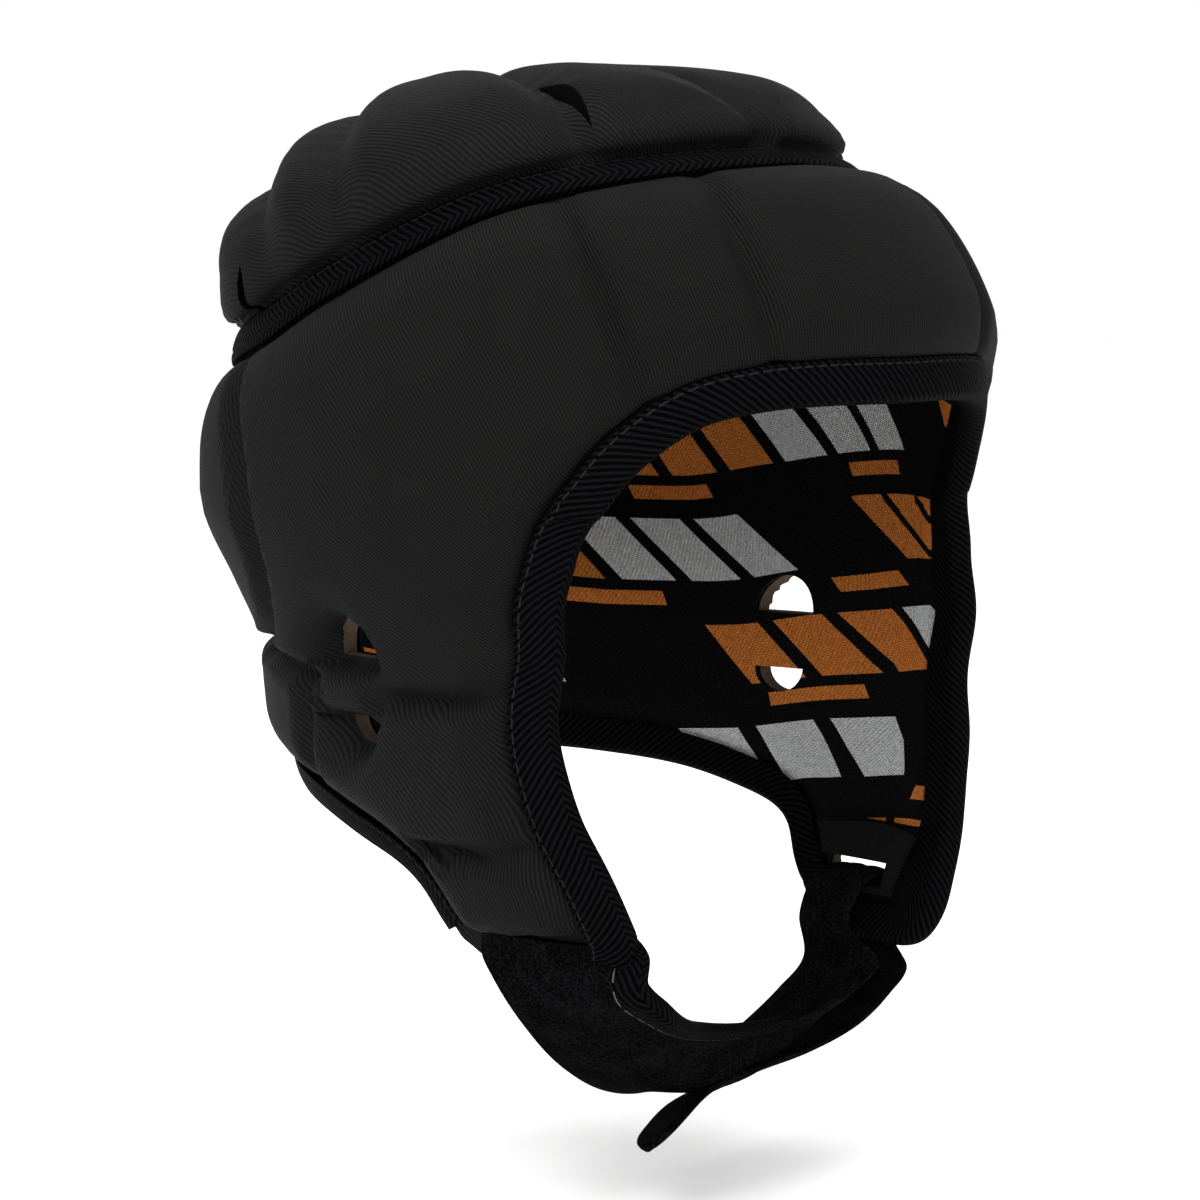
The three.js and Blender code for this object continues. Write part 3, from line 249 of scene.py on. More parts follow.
# shares of the way from start to end at which a row lies the given distances off a line
def shares_off(line, start, end, distances):
    share = np.linspace(0, SEARCH_SHARE, SEARCH_STEPS)
    path = start[:, None] + (end - start)[:, None] * share[None, :, None]
    away = np.maximum.accumulate(distance_to(head_point(path[..., 0], path[..., 1]), line), axis=1)
    return np.array([np.interp(distances, one, share) for one in away])


def filled_rows(start, end, rows):
    steps = np.arange(1, rows + 1) / (rows + 1)
    middle = start[:, -1:] + (end[:, :1] - start[:, -1:]) * steps
    return np.concatenate([start, middle, end], axis=1)


def crowded_columns(column):
    values = [FRONT_COLUMNS[0][column]]
    for before, row in zip(FRONT_COLUMNS, FRONT_COLUMNS[1:]):
        t = np.arange(1, row[2] + 1) / row[2]
        crowded = t - COLUMN_CROWDING * np.sin(2 * np.pi * t)
        values.extend(before[column] + (row[column] - before[column]) * crowded)
    return np.array(values)


def between(start, end, shares):
    return start[:, None] + (end - start)[:, None] * shares[..., None]


# the band's mesh in front of the ear: columns from the crown seam down to the face edge
def band_front():
    angles = crowded_columns(0)[:-1]
    top = np.stack([angles, seam_height(angles)], -1)
    known = np.array(FACE_EDGE)
    front_rows = np.arange(FACE_EDGE_FRONT)
    low = along_rows(known, np.interp(crowded_columns(1)[:-1], known[front_rows, 0], front_rows))
    shares = filled_rows(
        shares_off(seam_line(1), top, low, SEAM_ROWS),
        1 - shares_off(face_line(1), low, top, FACE_ROWS)[:, ::-1],
        UPPER_MIDDLE_ROWS,
    )
    return between(top, low, shares)


# the mesh behind it: columns from the seam over the ear groove down to the flap's foot and the nape
def band_rear(side):
    seam, face, tip = seam_line(1), face_line(1), tip_line(side) * (side, 1, 1)
    column = np.arange(0, len(REAR_COLUMNS) - 1 + 0.01, 1 / CELLS_PER_COLUMN)
    angles = along_rows(REAR_COLUMNS, column)
    top = np.stack([angles[:, 0], seam_height(angles[:, 0])], -1)
    middle = np.stack([angles[:, 1], read_rows(EAR_GROOVE, angles[:, 1])[:, 1]], -1)
    tip_start = len(FACE_EDGE) + 1
    tip_end = len(FACE_EDGE) + len(FLAP_TIP[side]) - 1
    last = len(outline_rows(side)) - 1
    rear_columns = len(REAR_COLUMNS) - 1 - TIP_COLUMNS
    foot = np.where(
        column <= TIP_COLUMNS,
        tip_start + (tip_end - tip_start) * column / TIP_COLUMNS,
        tip_end + (last - tip_end) * (column - TIP_COLUMNS) / rear_columns,
    )
    low = outline_place(side, foot)
    height = np.linalg.norm(head_point(*middle.T) - head_point(*top.T), axis=-1)[:, None]
    groove_end = 1 - np.array(GROOVE_ROWS)[::-1] / height
    face_end = 1 - shares_off(face, middle[:1], top[:1], FACE_ROWS)[:, ::-1]
    beyond_face = np.clip(column / CORNER_COLUMNS, 0, 1)[:, None]
    groove_end = face_end + (groove_end - face_end) * beyond_face
    upper = filled_rows(shares_off(seam, top, middle, SEAM_ROWS), groove_end, UPPER_MIDDLE_ROWS)
    depth = np.linalg.norm(head_point(*low.T) - head_point(*middle.T), axis=-1)[:, None]
    lower = filled_rows(
        np.array(GROOVE_ROWS) / depth,
        1 - shares_off(tip, low, middle, REAR_ROWS)[:, ::-1],
        LOWER_MIDDLE_ROWS,
    )[:, 1:]
    edge = outline_place(side, FACE_CORNER + (tip_start - FACE_CORNER) * lower)
    corner = np.array(FACE_EDGE[FACE_CORNER])
    bow = edge - (corner + (outline_place(side, tip_start) - corner) * lower[..., None])
    near_face = np.maximum(0, 1 - column / TIP_COLUMNS)[:, None, None]
    below = between(middle, low, lower) + near_face * bow
    return np.concatenate([between(top, middle, upper), below], axis=1)


def band_places(side):
    front, rear = band_front(), band_rear(side)
    front = np.concatenate([front, rear[:1, : front.shape[1]]])
    return front * (side, 1), rear * (side, 1)


# a cloth's own map on the band: across the knit's ribs and down along them
def rib_place(angle, z):
    turn = np.abs(angle)
    depth = seam_height(angle) - z
    towards_ear = np.sin(np.radians(np.clip(turn, 0, 90)))
    slant = RIB_SLANT * towards_ear * np.cos(np.radians(np.clip(turn - 90, 0, 90)))
    across = np.sign(angle) * (RIB_PER_DEGREE * turn + slant * depth) + RIB_START
    return np.stack([across, depth], -1)


# both sides of the band as grids, whole or with every second row and column
def band_grids(stride):
    grids = []
    for side in (-1, 1):
        for block in band_places(side):
            wide, tall = block.shape[:2]
            rows = sorted({*range(0, tall, stride), min(GROOVE_ROW, tall - 1), tall - 1})
            columns = sorted({*range(0, wide, stride), wide - 1})
            part = block[np.ix_(columns, rows)]
            angle, z = part[..., 0], part[..., 1]
            grids.append({
                "point": head_point(angle, z), "normal": head_normal(angle, z), "angle": angle,
                "uv": rib_place(angle + side * SIDE_NUDGE, z),
            })
    return grids


# one mesh from grids whose borders meet: shared points, faces turned outwards, and their maps
def weld(grids):
    flat = {}
    for key in grids[0]:
        flat[key] = np.concatenate([g[key].reshape(-1, *g[key].shape[2:]) for g in grids])
    key = np.round(flat["point"] * WELD_PER_MM).astype(int)
    _, first, index = np.unique(key, axis=0, return_index=True, return_inverse=True)
    index = index.reshape(-1)
    quads, corners, start = [], [], 0
    for grid in grids:
        rows, columns = grid["point"].shape[:2]
        block = index[start : start + rows * columns].reshape(rows, columns)
        start += rows * columns
        for table, store in ((block, quads), (grid["uv"], corners)):
            cells = [table[:-1, :-1], table[1:, :-1], table[1:, 1:], table[:-1, 1:]]
            store.append(np.stack(cells, 2).reshape(-1, 4, *table.shape[2:]))
    nodes = {name: values[first] for name, values in flat.items()}
    quads, corners = np.concatenate(quads), np.concatenate(corners)
    p = nodes["point"][quads]
    facing = np.cross(p[:, 2] - p[:, 0], p[:, 3] - p[:, 1])
    flip = np.einsum("ij,ij->i", facing, nodes["normal"][quads].sum(1)) < 0
    quads[flip] = quads[flip, ::-1]
    corners[flip] = corners[flip, ::-1]
    return nodes, quads, corners


# a mesh in metres from points in millimetres, without doubled corners, with its cloth map
def mesh_piece(name, points, faces, corners):
    kept, maps = [], []
    for face, corner in zip(faces, corners):
        own = [k for k in range(len(face)) if face[k] != face[k - 1]]
        if len(own) > 2:
            kept.append([int(face[k]) for k in own])
            maps.extend(corner[k] for k in own)
    mesh = bpy.data.meshes.new(name)
    mesh.from_pydata([tuple(p) for p in np.asarray(points) * 0.001], [], kept)
    layer = mesh.uv_layers.new(name="cloth")
    layer.uv.foreach_set("vector", np.array(maps, np.float32).ravel())
    mesh.validate()
    piece = bpy.data.objects.new(name, mesh)
    bpy.context.collection.objects.link(piece)
    return piece


def raised(nodes, height):
    return nodes["point"] + nodes["normal"] * height


# a closed skin from an outer and an inner surface, with walls along the open rims
def shell_piece(name, outer, inner, quads, corners):
    count = len(outer)
    pairs = np.stack([quads, np.roll(quads, -1, axis=1)], -1).reshape(-1, 2)
    ends = np.stack([corners, np.roll(corners, -1, axis=1)], 2).reshape(-1, 2, 2)
    real = pairs[:, 0] != pairs[:, 1]
    pairs, ends = pairs[real], ends[real]
    code = pairs[:, 0] * count + pairs[:, 1]
    rim = ~np.isin(code, pairs[:, 1] * count + pairs[:, 0])
    a, b = pairs[rim].T
    walls = np.stack([b, a, a + count, b + count], -1)
    wall_maps = ends[rim][:, [1, 0, 0, 1]]
    faces = np.concatenate([quads, quads[:, ::-1] + count, walls])
    maps = np.concatenate([corners, corners[:, ::-1], wall_maps])
    return mesh_piece(name, np.concatenate([outer, inner]), faces, maps)


def pick(piece):
    bpy.ops.object.select_all(action="DESELECT")
    piece.select_set(True)
    bpy.context.view_layer.objects.active = piece


def smooth_faces(piece, degrees):
    pick(piece)
    bpy.ops.object.shade_smooth_by_angle(angle=math.radians(degrees))
    piece.select_set(False)


# a straight cutter: an outline drawn out along one axis
def prism(name, outline, low, high, axis):
    count = len(outline)
    points = np.insert(np.concatenate([outline, outline]).astype(float), axis, 0, axis=1)
    points[:count, axis], points[count:, axis] = low, high
    faces = [list(range(count))[::-1], list(range(count, 2 * count))]
    faces += [[k, (k + 1) % count, (k + 1) % count + count, k + count] for k in range(count)]
    piece = mesh_piece(name, points, faces, [[(0, 0)] * len(face) for face in faces])
    pick(piece)
    bpy.ops.object.mode_set(mode="EDIT")
    bpy.ops.mesh.select_all(action="SELECT")
    bpy.ops.mesh.normals_make_consistent(inside=False)
    bpy.ops.object.mode_set(mode="OBJECT")
    return piece


def cut_out(piece, cutter):
    pick(piece)
    cut = piece.modifiers.new("cut", "BOOLEAN")
    cut.operation = "DIFFERENCE"
    cut.solver = "EXACT"
    cut.material_mode = "TRANSFER"
    cut.object = cutter
    bpy.ops.object.modifier_apply(modifier=cut.name)
    bpy.data.objects.remove(cutter, do_unlink=True)


CLOTH_CREASE = 40
EAR_Y = -16.0
# width, bottom, top, round side up
EAR_HOLES = [(19, -123.5, -113.5, True), (15, -144.5, -138, False)]
EAR_STEPS = 25
EAR_CUT = (-140, 140)
SLOT_FRONT, SLOT_REAR = 73.5, 87
SLOT_Z, SLOT_HEIGHT, SLOT_SIDE = -186.5, 6.4, 1.2
SLOT_CUT = (40, 90)


# an ear opening: its width, the height of its flat side, and how far the round side rises from there
def ear_shape(hole):
    width, bottom, top, round_up = hole
    return (width, bottom, top - bottom) if round_up else (width, top, bottom - top)


def ear_arc(hole, steps):
    width, flat, rise = ear_shape(hole)
    turn = np.linspace(0, np.pi, steps)
    return np.stack([EAR_Y + width / 2 * np.cos(turn), flat + rise * np.sin(turn)], -1)


def ear_cutter(hole):
    return prism("ear_cutter", ear_arc(hole, EAR_STEPS), *EAR_CUT, 0)


def slot_cutter():
    front, rear = head_point(SLOT_FRONT, SLOT_Z), head_point(SLOT_REAR, SLOT_Z)
    low, high = front[1] - SLOT_SIDE, rear[1] + SLOT_SIDE
    bottom, top = SLOT_Z - SLOT_HEIGHT / 2, SLOT_Z + SLOT_HEIGHT / 2
    outline = np.array([(low, bottom), (high, bottom), (high, top), (low, top)])
    return prism("slot_cutter", outline, *SLOT_CUT, 0)


# the lining's top: rays from the middle to the seam, one for each column of the band
def crown_polar():
    tops = [g["angle"][:, 0] for g in band_grids(stride=2)]
    angle = np.unique(np.round(np.concatenate(tops), 9))
    share = np.linspace(0, 1, POLAR_STEPS)
    across = share[None] * np.sin(np.radians(angle))[:, None]
    along = -share[None] * np.cos(np.radians(angle))[:, None]
    point, normal = crown_point(across, along), crown_normal(across, along)
    point[:, -1] = head_point(angle, seam_height(angle))
    return {
        "point": point, "normal": normal, "angle": np.repeat(angle[:, None], POLAR_STEPS, 1),
        "uv": point[..., :2] + PRINT_SHIFT,
    }


lining_nodes, lining_quads, lining_maps = weld(band_grids(stride=2) + [crown_polar()])
edge_lines = [line(side) for side in (-1, 1) for line in (face_line, tip_line)]
edge_reach = np.minimum.reduce([distance_to(lining_nodes["point"], line) for line in edge_lines])
tuck = np.clip(1 - (edge_reach - EDGE_TUCK + TUCK_FADE) / TUCK_FADE, 0, 1)[:, None]
inside = LINING_INSIDE + TUCK_IN * tuck
outside = LINING_INSIDE + LINING_THICK + TUCK_OUT * tuck
lining_sides = (raised(lining_nodes, outside), raised(lining_nodes, inside))
lining = shell_piece("lining_cloth", *lining_sides, lining_quads, lining_maps)


# a value in a material, so that shader maths is written as sums and products
class Shade:
    def __init__(self, tree, socket=None):
        self.tree = tree
        self.socket = socket

    def node(self, kind, settings=None, inputs=None, output=0):
        made = self.tree.nodes.new(kind)
        for name, value in (settings or {}).items():
            setattr(made, name, value)
        for name, value in (inputs or {}).items():
            if isinstance(value, Shade):
                self.tree.links.new(value.socket, made.inputs[name])
            else:
                made.inputs[name].default_value = value
        return Shade(self.tree, made.outputs[output])

    def math(self, operation, *values):
        return self.node("ShaderNodeMath", {"operation": operation}, dict(enumerate(values)))

    def __add__(self, other):
        return self.math("ADD", self, other)

    __radd__ = __add__

    def __sub__(self, other):
        return self.math("SUBTRACT", self, other)

    def __rsub__(self, other):
        return self.math("SUBTRACT", other, self)

    def __mul__(self, other):
        return self.math("MULTIPLY", self, other)

    __rmul__ = __mul__

    def __truediv__(self, other):
        return self.math("DIVIDE", self, other)

    def __rtruediv__(self, other):
        return self.math("DIVIDE", other, self)

    def __gt__(self, other):
        return self.math("GREATER_THAN", self, other)

    def __lt__(self, other):
        return self.math("LESS_THAN", self, other)

    def sine(self):
        return self.math("SINE", self)

    def wave(self, pitch):
        return (self * (2 * math.pi / pitch)).sine() * 0.5 + 0.5

    def size(self):
        return self.math("ABSOLUTE", self)

    def floor(self):
        return self.math("FLOOR", self)

    def either(self, other):
        return self.math("MAXIMUM", self, other)

    def wrapped(self, length):
        return self.math("FLOORED_MODULO", self, length)

    def step(self, low, high):
        settings = {"interpolation_type": "SMOOTHSTEP"}
        inputs = {"Value": self, "From Min": low, "From Max": high}
        return self.node("ShaderNodeMapRange", settings, inputs)

    def mix(self, first, second):
        settings = {"data_type": "RGBA"}
        return self.node("ShaderNodeMix", settings, {0: self, 6: colour(first), 7: colour(second)}, 2)


def colour(value):
    return value if isinstance(value, Shade) else (*value, 1)


# a cloth's shader, with its map across (u) and along (v) in millimetres
def cloth_material(name, roughness, specular):
    material = bpy.data.materials.new(name)
    material.use_nodes = True
    tree = material.node_tree
    shader = tree.nodes["Principled BSDF"]
    shader.inputs["Roughness"].default_value = roughness
    shader.inputs["Specular IOR Level"].default_value = specular
    shade = Shade(tree)
    where = shade.node("ShaderNodeUVMap", {"uv_map": "cloth"})
    u = shade.node("ShaderNodeSeparateXYZ", None, {"Vector": where}, "X")
    v = shade.node("ShaderNodeSeparateXYZ", None, {"Vector": where}, "Y")
    return material, shader, shade, u, v


def finish_material(shade, shader, base, height, bump_mm):
    shade.tree.links.new(base.socket, shader.inputs["Base Color"])
    inputs = {"Height": height, "Strength": 1.0, "Distance": bump_mm * 0.001}
    bump = shade.node("ShaderNodeBump", None, inputs)
    shade.tree.links.new(bump.socket, shader.inputs["Normal"])


def noise(shade, scale, detail):
    place = shade.node("ShaderNodeTexCoord", None, None, "Object")
    return shade.node("ShaderNodeTexNoise", None, {"Vector": place, "Scale": scale, "Detail": detail})


def object_height(shade):
    place = shade.node("ShaderNodeTexCoord", None, None, "Object")
    return shade.node("ShaderNodeSeparateXYZ", None, {"Vector": place}, "Z")


def plain_weave(u, v, turn):
    return (u * turn).sine() * (v * turn).sine()


# faces turned away from here are the lining's plain back
HEAD_MIDDLE = Vector((0, -0.02, -0.11))
BACK_BLACK = (0.0008, 0.0008, 0.0009)
LINING_BLACK = (0.0022, 0.0023, 0.0024)
LINING_GREY = (0.42, 0.43, 0.43)
LINING_ORANGE = (0.40, 0.125, 0.025)
# the print: sloping rows of slanted bars in groups, half grey and half orange, and dashes below them
PRINT_SLOPE = math.radians(-16)
ROW_PITCH = 30.0
ROW_SHIFT = 57.0
PRINT_FOOT = -0.174
BARS_LEAN = 0.32
BARS_PITCH = 13.0
BARS_SPACE = 3.0
BARS_LOW, BARS_HIGH = 3.0, 20.5
GROUP_PITCH, GROUP_BARS, GROUP_GREY = 104.0, 78.0, 39.0
DASH_LOW, DASH_HIGH = 23.5, 27.5
DASH_PITCH, DASH_LENGTH, DASH_SHIFT = 52.0, 17.0, 31.0
INK_WEAR = 0.3
WEAVE_TURN = 6.6
lining_material, shader, shade, u, v = cloth_material("printed_lining", roughness=0.8, specular=0.03)
along = u * math.cos(PRINT_SLOPE) + v * math.sin(PRINT_SLOPE)
down = v * math.cos(PRINT_SLOPE) - u * math.sin(PRINT_SLOPE)
row = (down / ROW_PITCH).floor()
in_row = down.wrapped(ROW_PITCH)
run = along + row * ROW_SHIFT + in_row * BARS_LEAN
group = run.wrapped(GROUP_PITCH)
bars = (run.wrapped(BARS_PITCH) > BARS_SPACE) * (in_row > BARS_LOW) * (in_row < BARS_HIGH)
bars = bars * (group < GROUP_BARS)
dash_run = (along + row * DASH_SHIFT).wrapped(DASH_PITCH)
dashes = (in_row > DASH_LOW) * (in_row < DASH_HIGH) * (dash_run < DASH_LENGTH)
warm = group > GROUP_GREY
above_foot = object_height(shade) > PRINT_FOOT
print_mask = bars.either(dashes) * above_foot
warm_mask = warm.either(dashes)
weave = plain_weave(u, v, WEAVE_TURN)
ink = warm_mask.mix(LINING_GREY, LINING_ORANGE)
wear = noise(shade, scale=900, detail=2).step(0.25, 0.75) * INK_WEAR + (1 - INK_WEAR)
worn_ink = wear.mix(LINING_BLACK, ink)
base = print_mask.mix(LINING_BLACK, worn_ink)
finish_material(shade, shader, base, weave, bump_mm=0.12)
lining.data.materials.append(lining_material)
lining_back, shader, shade, u, v = cloth_material("plain_lining_back", roughness=0.9, specular=0.01)
weave = plain_weave(u, v, WEAVE_TURN)
base = weave.step(-1, 1).mix(BACK_BLACK, LINING_BLACK)
finish_material(shade, shader, base, weave, bump_mm=0.12)
lining.data.materials.append(lining_back)
for face in lining.data.polygons:
    face.material_index = int(face.normal.dot(face.center - HEAD_MIDDLE) > 0)
for hole in EAR_HOLES:
    cut_out(lining, ear_cutter(hole))
cut_out(lining, slot_cutter())
smooth_faces(lining, CLOTH_CREASE)
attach(lining, "root")
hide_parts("lining")


# Crown panel
# The padded top: ribbed charcoal knit over foam, up to about 18 mm thick, sewn down along lines across
# the head so that it stands up in lobes, with two slit vents on each side through to the lining.
CROWN_PAD = 18.5
PANEL_INSIDE = 1.5
FLANGE = 3.0
FLANGE_TOP = PANEL_INSIDE + FLANGE
PAD_CREASE = 55
SEAM_MARGIN = 5.4
CROWN_ROUNDING = 22.0
CROWN_OVERHANG = 4.5
CROWN_LOW = 7.5
OVERHANG_SPAN = 0.77
CROWN_CELLS = 116
RAY_STEPS = 41
TURN_STEPS = 181
# the knit is rolled over the top on this radius, about this height
CROWN_ROLL = 84.0
CROWN_ROLL_Z = -70.0
CLOTH_SHIFT = 200
CROWN_RIM_ROWS = [12.5, 10.6, 9, 7.8, 6.9, 6.2, 5.7, 5.3, 4, 2.2, 0.4]
# where the line crosses the middle, how it slopes and bows to the sides, depth, reach
CROWN_LINES = [
    (31, 2.07, 0, 0.5, 15),
    (36, 0, 0.0098, 0.42, 15),
    (57, 0, 0.0095, 0.36, 13),
    (70, 0, 0.0066, 0.44, 13),
]
# the line along the middle of the front: depth, reach, where it ends
TONGUE_LINE = (0.26, 10, -34)
TONGUE_FADE = 10
# puckers beside a sewn line: height, turn for each millimetre, reach
CROWN_PUCKER = (0.012, 1.05, 9)
PUCKER_FLOOR = 0.2
# length, width, place and turn of the slits: x and y in front, y and z at the back
FRONT_VENT = (40, 2.8, 34, -40, 25.5)
BACK_VENT = (16, 4, 33, -38, -12)
FRONT_VENT_CUT = (-60, 60)
BACK_VENT_CUT = (40, 130)
LEAF_STEPS = 25
KNIT_CHARCOAL = (0.0034, 0.0034, 0.0034)
KNIT_LIGHT = (0.0094, 0.0093, 0.0089)
RIB_PITCH = 0.8
LOOP_PITCH = 0.55
KNIT_WOBBLE = 0.5
RIB_TONE, LOOP_TONE, WORN_TONE = 0.55, 0.2, 0.25
RIB_BUMP, LOOP_BUMP = 0.8, 0.2
DIP_POWER = 2.4
DIP_ROUNDING = 0.7
DIP_LIP = 0.12


def both_sides(line):
    return np.concatenate([line(-1), line(1)])


# a pad's rounded edge: 0 at its foot, 1 from the reach on
def rounded_rise(distance, reach):
    share = np.clip(distance / reach, 0, 1)
    return np.sqrt(share * (2 - share))


# the share of a pad's height that a sewn line leaves, with a soft lip beside the line
def stitched_dip(distance, reach, depth):
    share = np.clip(np.hypot(distance, DIP_ROUNDING) / reach, 0, 1)
    return 1 - depth * (1 - share) ** DIP_POWER + DIP_LIP * depth * np.sin(np.pi * share) ** 2


def pucker(place, away, shape):
    height, turn, reach = shape
    return height * np.sin(place * turn) * np.clip(1 - away / reach, 0, 1)


# the knit's own map on the crown, by its length over the top
def crown_cloth(point):
    over = CROWN_ROLL * np.arctan2(point[..., 0], point[..., 2] - CROWN_ROLL_Z)
    along = CROWN_ROLL * np.arctan2(point[..., 1] + CROWN_LEAN, point[..., 2] - CROWN_ROLL_Z)
    return np.stack([over, along], -1) + CLOTH_SHIFT


# the crown's mesh: a square grid drawn to a disc, and rings from its border to the seam
def crown_grid():
    steps = np.linspace(-1, 1, CROWN_CELLS + 1)
    a, b = np.meshgrid(steps, steps, indexing="ij")
    across, along = a * np.sqrt(1 - b * b / 2), b * np.sqrt(1 - a * a / 2)
    angle = np.degrees(np.arctan2(across, -along))
    ray = np.linspace(0, 1, RAY_STEPS)
    turn = np.linspace(-180, 180, TURN_STEPS)
    sine, cosine = np.sin(np.radians(turn))[:, None], np.cos(np.radians(turn))[:, None]
    away = distance_to(crown_point(ray * sine, -ray * cosine), both_sides(seam_line))
    rims = np.array([np.interp(np.array(CROWN_RIM_ROWS), one[::-1], ray[::-1]) for one in away])
    inner = np.interp(angle, turn, rims[:, 0])
    border = np.concatenate([angle[:, 0], angle[-1, 1:], angle[-2::-1, -1], angle[0, -2::-1]])
    ring = np.stack([np.interp(border, turn, rims[:, k]) for k in range(len(CROWN_RIM_ROWS))], -1)
    radius = np.hypot(across, along) * inner
    grids = []
    around = np.repeat(border[:, None], ring.shape[1], 1)
    for share, direction in ((radius, angle), (ring, around)):
        x, y = share * np.sin(np.radians(direction)), -share * np.cos(np.radians(direction))
        point = crown_point(x, y)
        grids.append({
            "point": point, "normal": crown_normal(x, y), "angle": direction, "uv": crown_cloth(point),
        })
    return grids


def crown_height(point):
    pad = rounded_rise(distance_to(point, both_sides(seam_line)) - SEAM_MARGIN, CROWN_ROUNDING)
    x, y = point[:, 0], point[:, 1]
    aside = np.abs(x)
    for middle, slope, bow, depth, reach in CROWN_LINES:
        line_y = middle - slope * aside - bow * aside * aside
        away = np.abs(y - line_y) / np.hypot(1, slope + 2 * bow * aside)
        pad *= stitched_dip(away, reach, depth)
        pad += pucker(x, away, CROWN_PUCKER) * (pad > PUCKER_FLOOR)
    depth, reach, end = TONGUE_LINE
    fade = np.clip((end - y) / TONGUE_FADE, 0, 1)
    return pad * stitched_dip(np.abs(x), reach, depth * fade)


# which way, and by what share, a pad's side leans out over the tape along a line
def overhang(nodes, rise, line, heights, rounding):
    point, normal = nodes["point"], nodes["normal"]
    gap = point[:, None, :2] - line[None, :, :2]
    sideways = line[np.argmin(np.linalg.norm(gap, axis=2), axis=1)] - point
    sideways -= normal * np.einsum("ij,ij->i", sideways, normal)[:, None]
    low, top = heights
    climb = np.clip((rise - low) / (top - low) / OVERHANG_SPAN, 0, 1)
    reach = np.clip(1 - distance_to(point, line) / rounding, 0, 1)
    return unit(sideways) * (np.sin(np.pi * climb) * np.sqrt(reach))[:, None]


def leaf_outline(vent):
    length, width, first, second, turn = vent
    t = np.linspace(-1, 1, LEAF_STEPS)
    edge = np.stack([width / 2 * (1 - t * t), t * length / 2], -1)
    x, y = np.concatenate([edge, -edge[1:-1]]).T
    c, s = math.cos(math.radians(turn)), math.sin(math.radians(turn))
    return np.stack([first + x * c - y * s, second + x * s + y * c], -1)


crown_nodes, crown_quads, crown_maps = weld(crown_grid())
crown_pad = FLANGE_TOP + (CROWN_PAD - FLANGE) * crown_height(crown_nodes["point"])
crown_rise = np.maximum(FLANGE_TOP, crown_pad)
crown_heights = (CROWN_LOW, CROWN_PAD)
crown_lean = overhang(crown_nodes, crown_rise, both_sides(seam_line), crown_heights, CROWN_ROUNDING)
crown_top = raised(crown_nodes, crown_rise[:, None]) + crown_lean * CROWN_OVERHANG
crown_back = raised(crown_nodes, PANEL_INSIDE)
crown = shell_piece("crown_padding", crown_top, crown_back, crown_quads, crown_maps)
knit, shader, shade, u, v = cloth_material("ribbed_knit", roughness=0.65, specular=0.027)
wobble = noise(shade, scale=120, detail=2) * KNIT_WOBBLE
rib = (u + wobble).wave(RIB_PITCH)
loop = (v + wobble).wave(LOOP_PITCH)
worn = noise(shade, scale=70, detail=3)
tone = rib * RIB_TONE + loop * rib * LOOP_TONE + worn * WORN_TONE
base = tone.step(0.1, 0.95).mix(KNIT_CHARCOAL, KNIT_LIGHT)
finish_material(shade, shader, base, rib * RIB_BUMP + loop * LOOP_BUMP, bump_mm=0.22)
crown.data.materials.append(knit)
for side in (-1, 1):
    back_cut = sorted(side * reach for reach in BACK_VENT_CUT)
    slits = [
        prism("front_slit", leaf_outline(FRONT_VENT) * (side, 1), *FRONT_VENT_CUT, 2),
        prism("back_slit", leaf_outline(BACK_VENT), *back_cut, 0),
    ]
    for slit in slits:
        slit.data.materials.append(lining_back)
        cut_out(crown, slit)
smooth_faces(crown, PAD_CREASE)
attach(crown, "root")
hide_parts("crown_panel")


# Band panel
# The padded band round forehead, ears and nape with its two jaw flaps: the same ribbed knit over
# foam about 11 mm thick, sewn into pads, with two ear openings on each side and a slot on the left.
BAND_PAD = 11.5
PAD_ROUNDING = 11.0
BAND_TOP_ROUNDING = 20.0
FACE_MARGIN = 8.6
REAR_MARGIN = 8.4
# the foot of the pad on each flap: angle and height
JAW_LINE = {
    -1: [(60, -181), (68, -182.5), (84, -185.5), (96, -185.5)],
    1: [(60, -174), (68, -175.5), (84, -178), (96, -178)],
}
# it counts below this height and in front of this angle
JAW_TOP = -160
JAW_END = 100
JAW_ROUNDING = 5.0
# depth, reach and the line on the head form
BAND_LINES = [
    (0.5, 9, [(25, -8), (25.4, -30), (22.5, -62)]),
    (0.5, 9, [(54, -12), (48.5, -37), (42.5, -66)]),
    (0.66, 10, [(119, -48), (111.4, -78), (111, -95), (120, -112), (133, -124)]),
    (0.58, 9, [(115, -130), (117, -145), (117, -165)]),
    (0.8, 8, [(94, -165), (87, -164.5), (74, -162)]),
]
LINE_FINENESS = 8
BAND_PUCKER = (0.014, 1.2, 8)
GROOVE_PUCKER = (0.016, 0.9, 8)
# the sewn line through the ears: depth and reach, and how far from the ear it sets in
GROOVE_DIP = (0.68, 9)
GROOVE_START = 11.0
GROOVE_FADE = 5.0
# the dish round an ear opening: its reach to the rear and to the front, its floor and its rim
EAR_DISH_STEPS = 41
EAR_SLANT = 0.6
EAR_REAR_REACH = 15.0
EAR_FRONT_REACH = 5.0
EAR_FLOOR = 0.12
EAR_RIM = 1.3
# the bar between two ear openings, with a crease at each end
BAR_CREASE = (0.55, 5)
BAR_HALF_LENGTH = 11.5
BAR_MIDDLE = -131.0
BAR_HALF_HEIGHT = 6.0
# how far the brow's pads lean out over the face tape, and up to which angle
BROW_OVERHANG = 2.5
BROW_REACH = 26.0
BROW_END = 58.0
BROW_FADE = 18.0
BROW_LOW = 5.2
FOAM_TAN = (0.055, 0.038, 0.026)
FOAM_LIGHT = (0.085, 0.058, 0.040)


def line_on_head(rows, side):
    place = along_rows(rows, np.linspace(0, len(rows) - 1, LINE_FINENESS * len(rows)))
    return head_point(side * place[:, 0], place[:, 1])


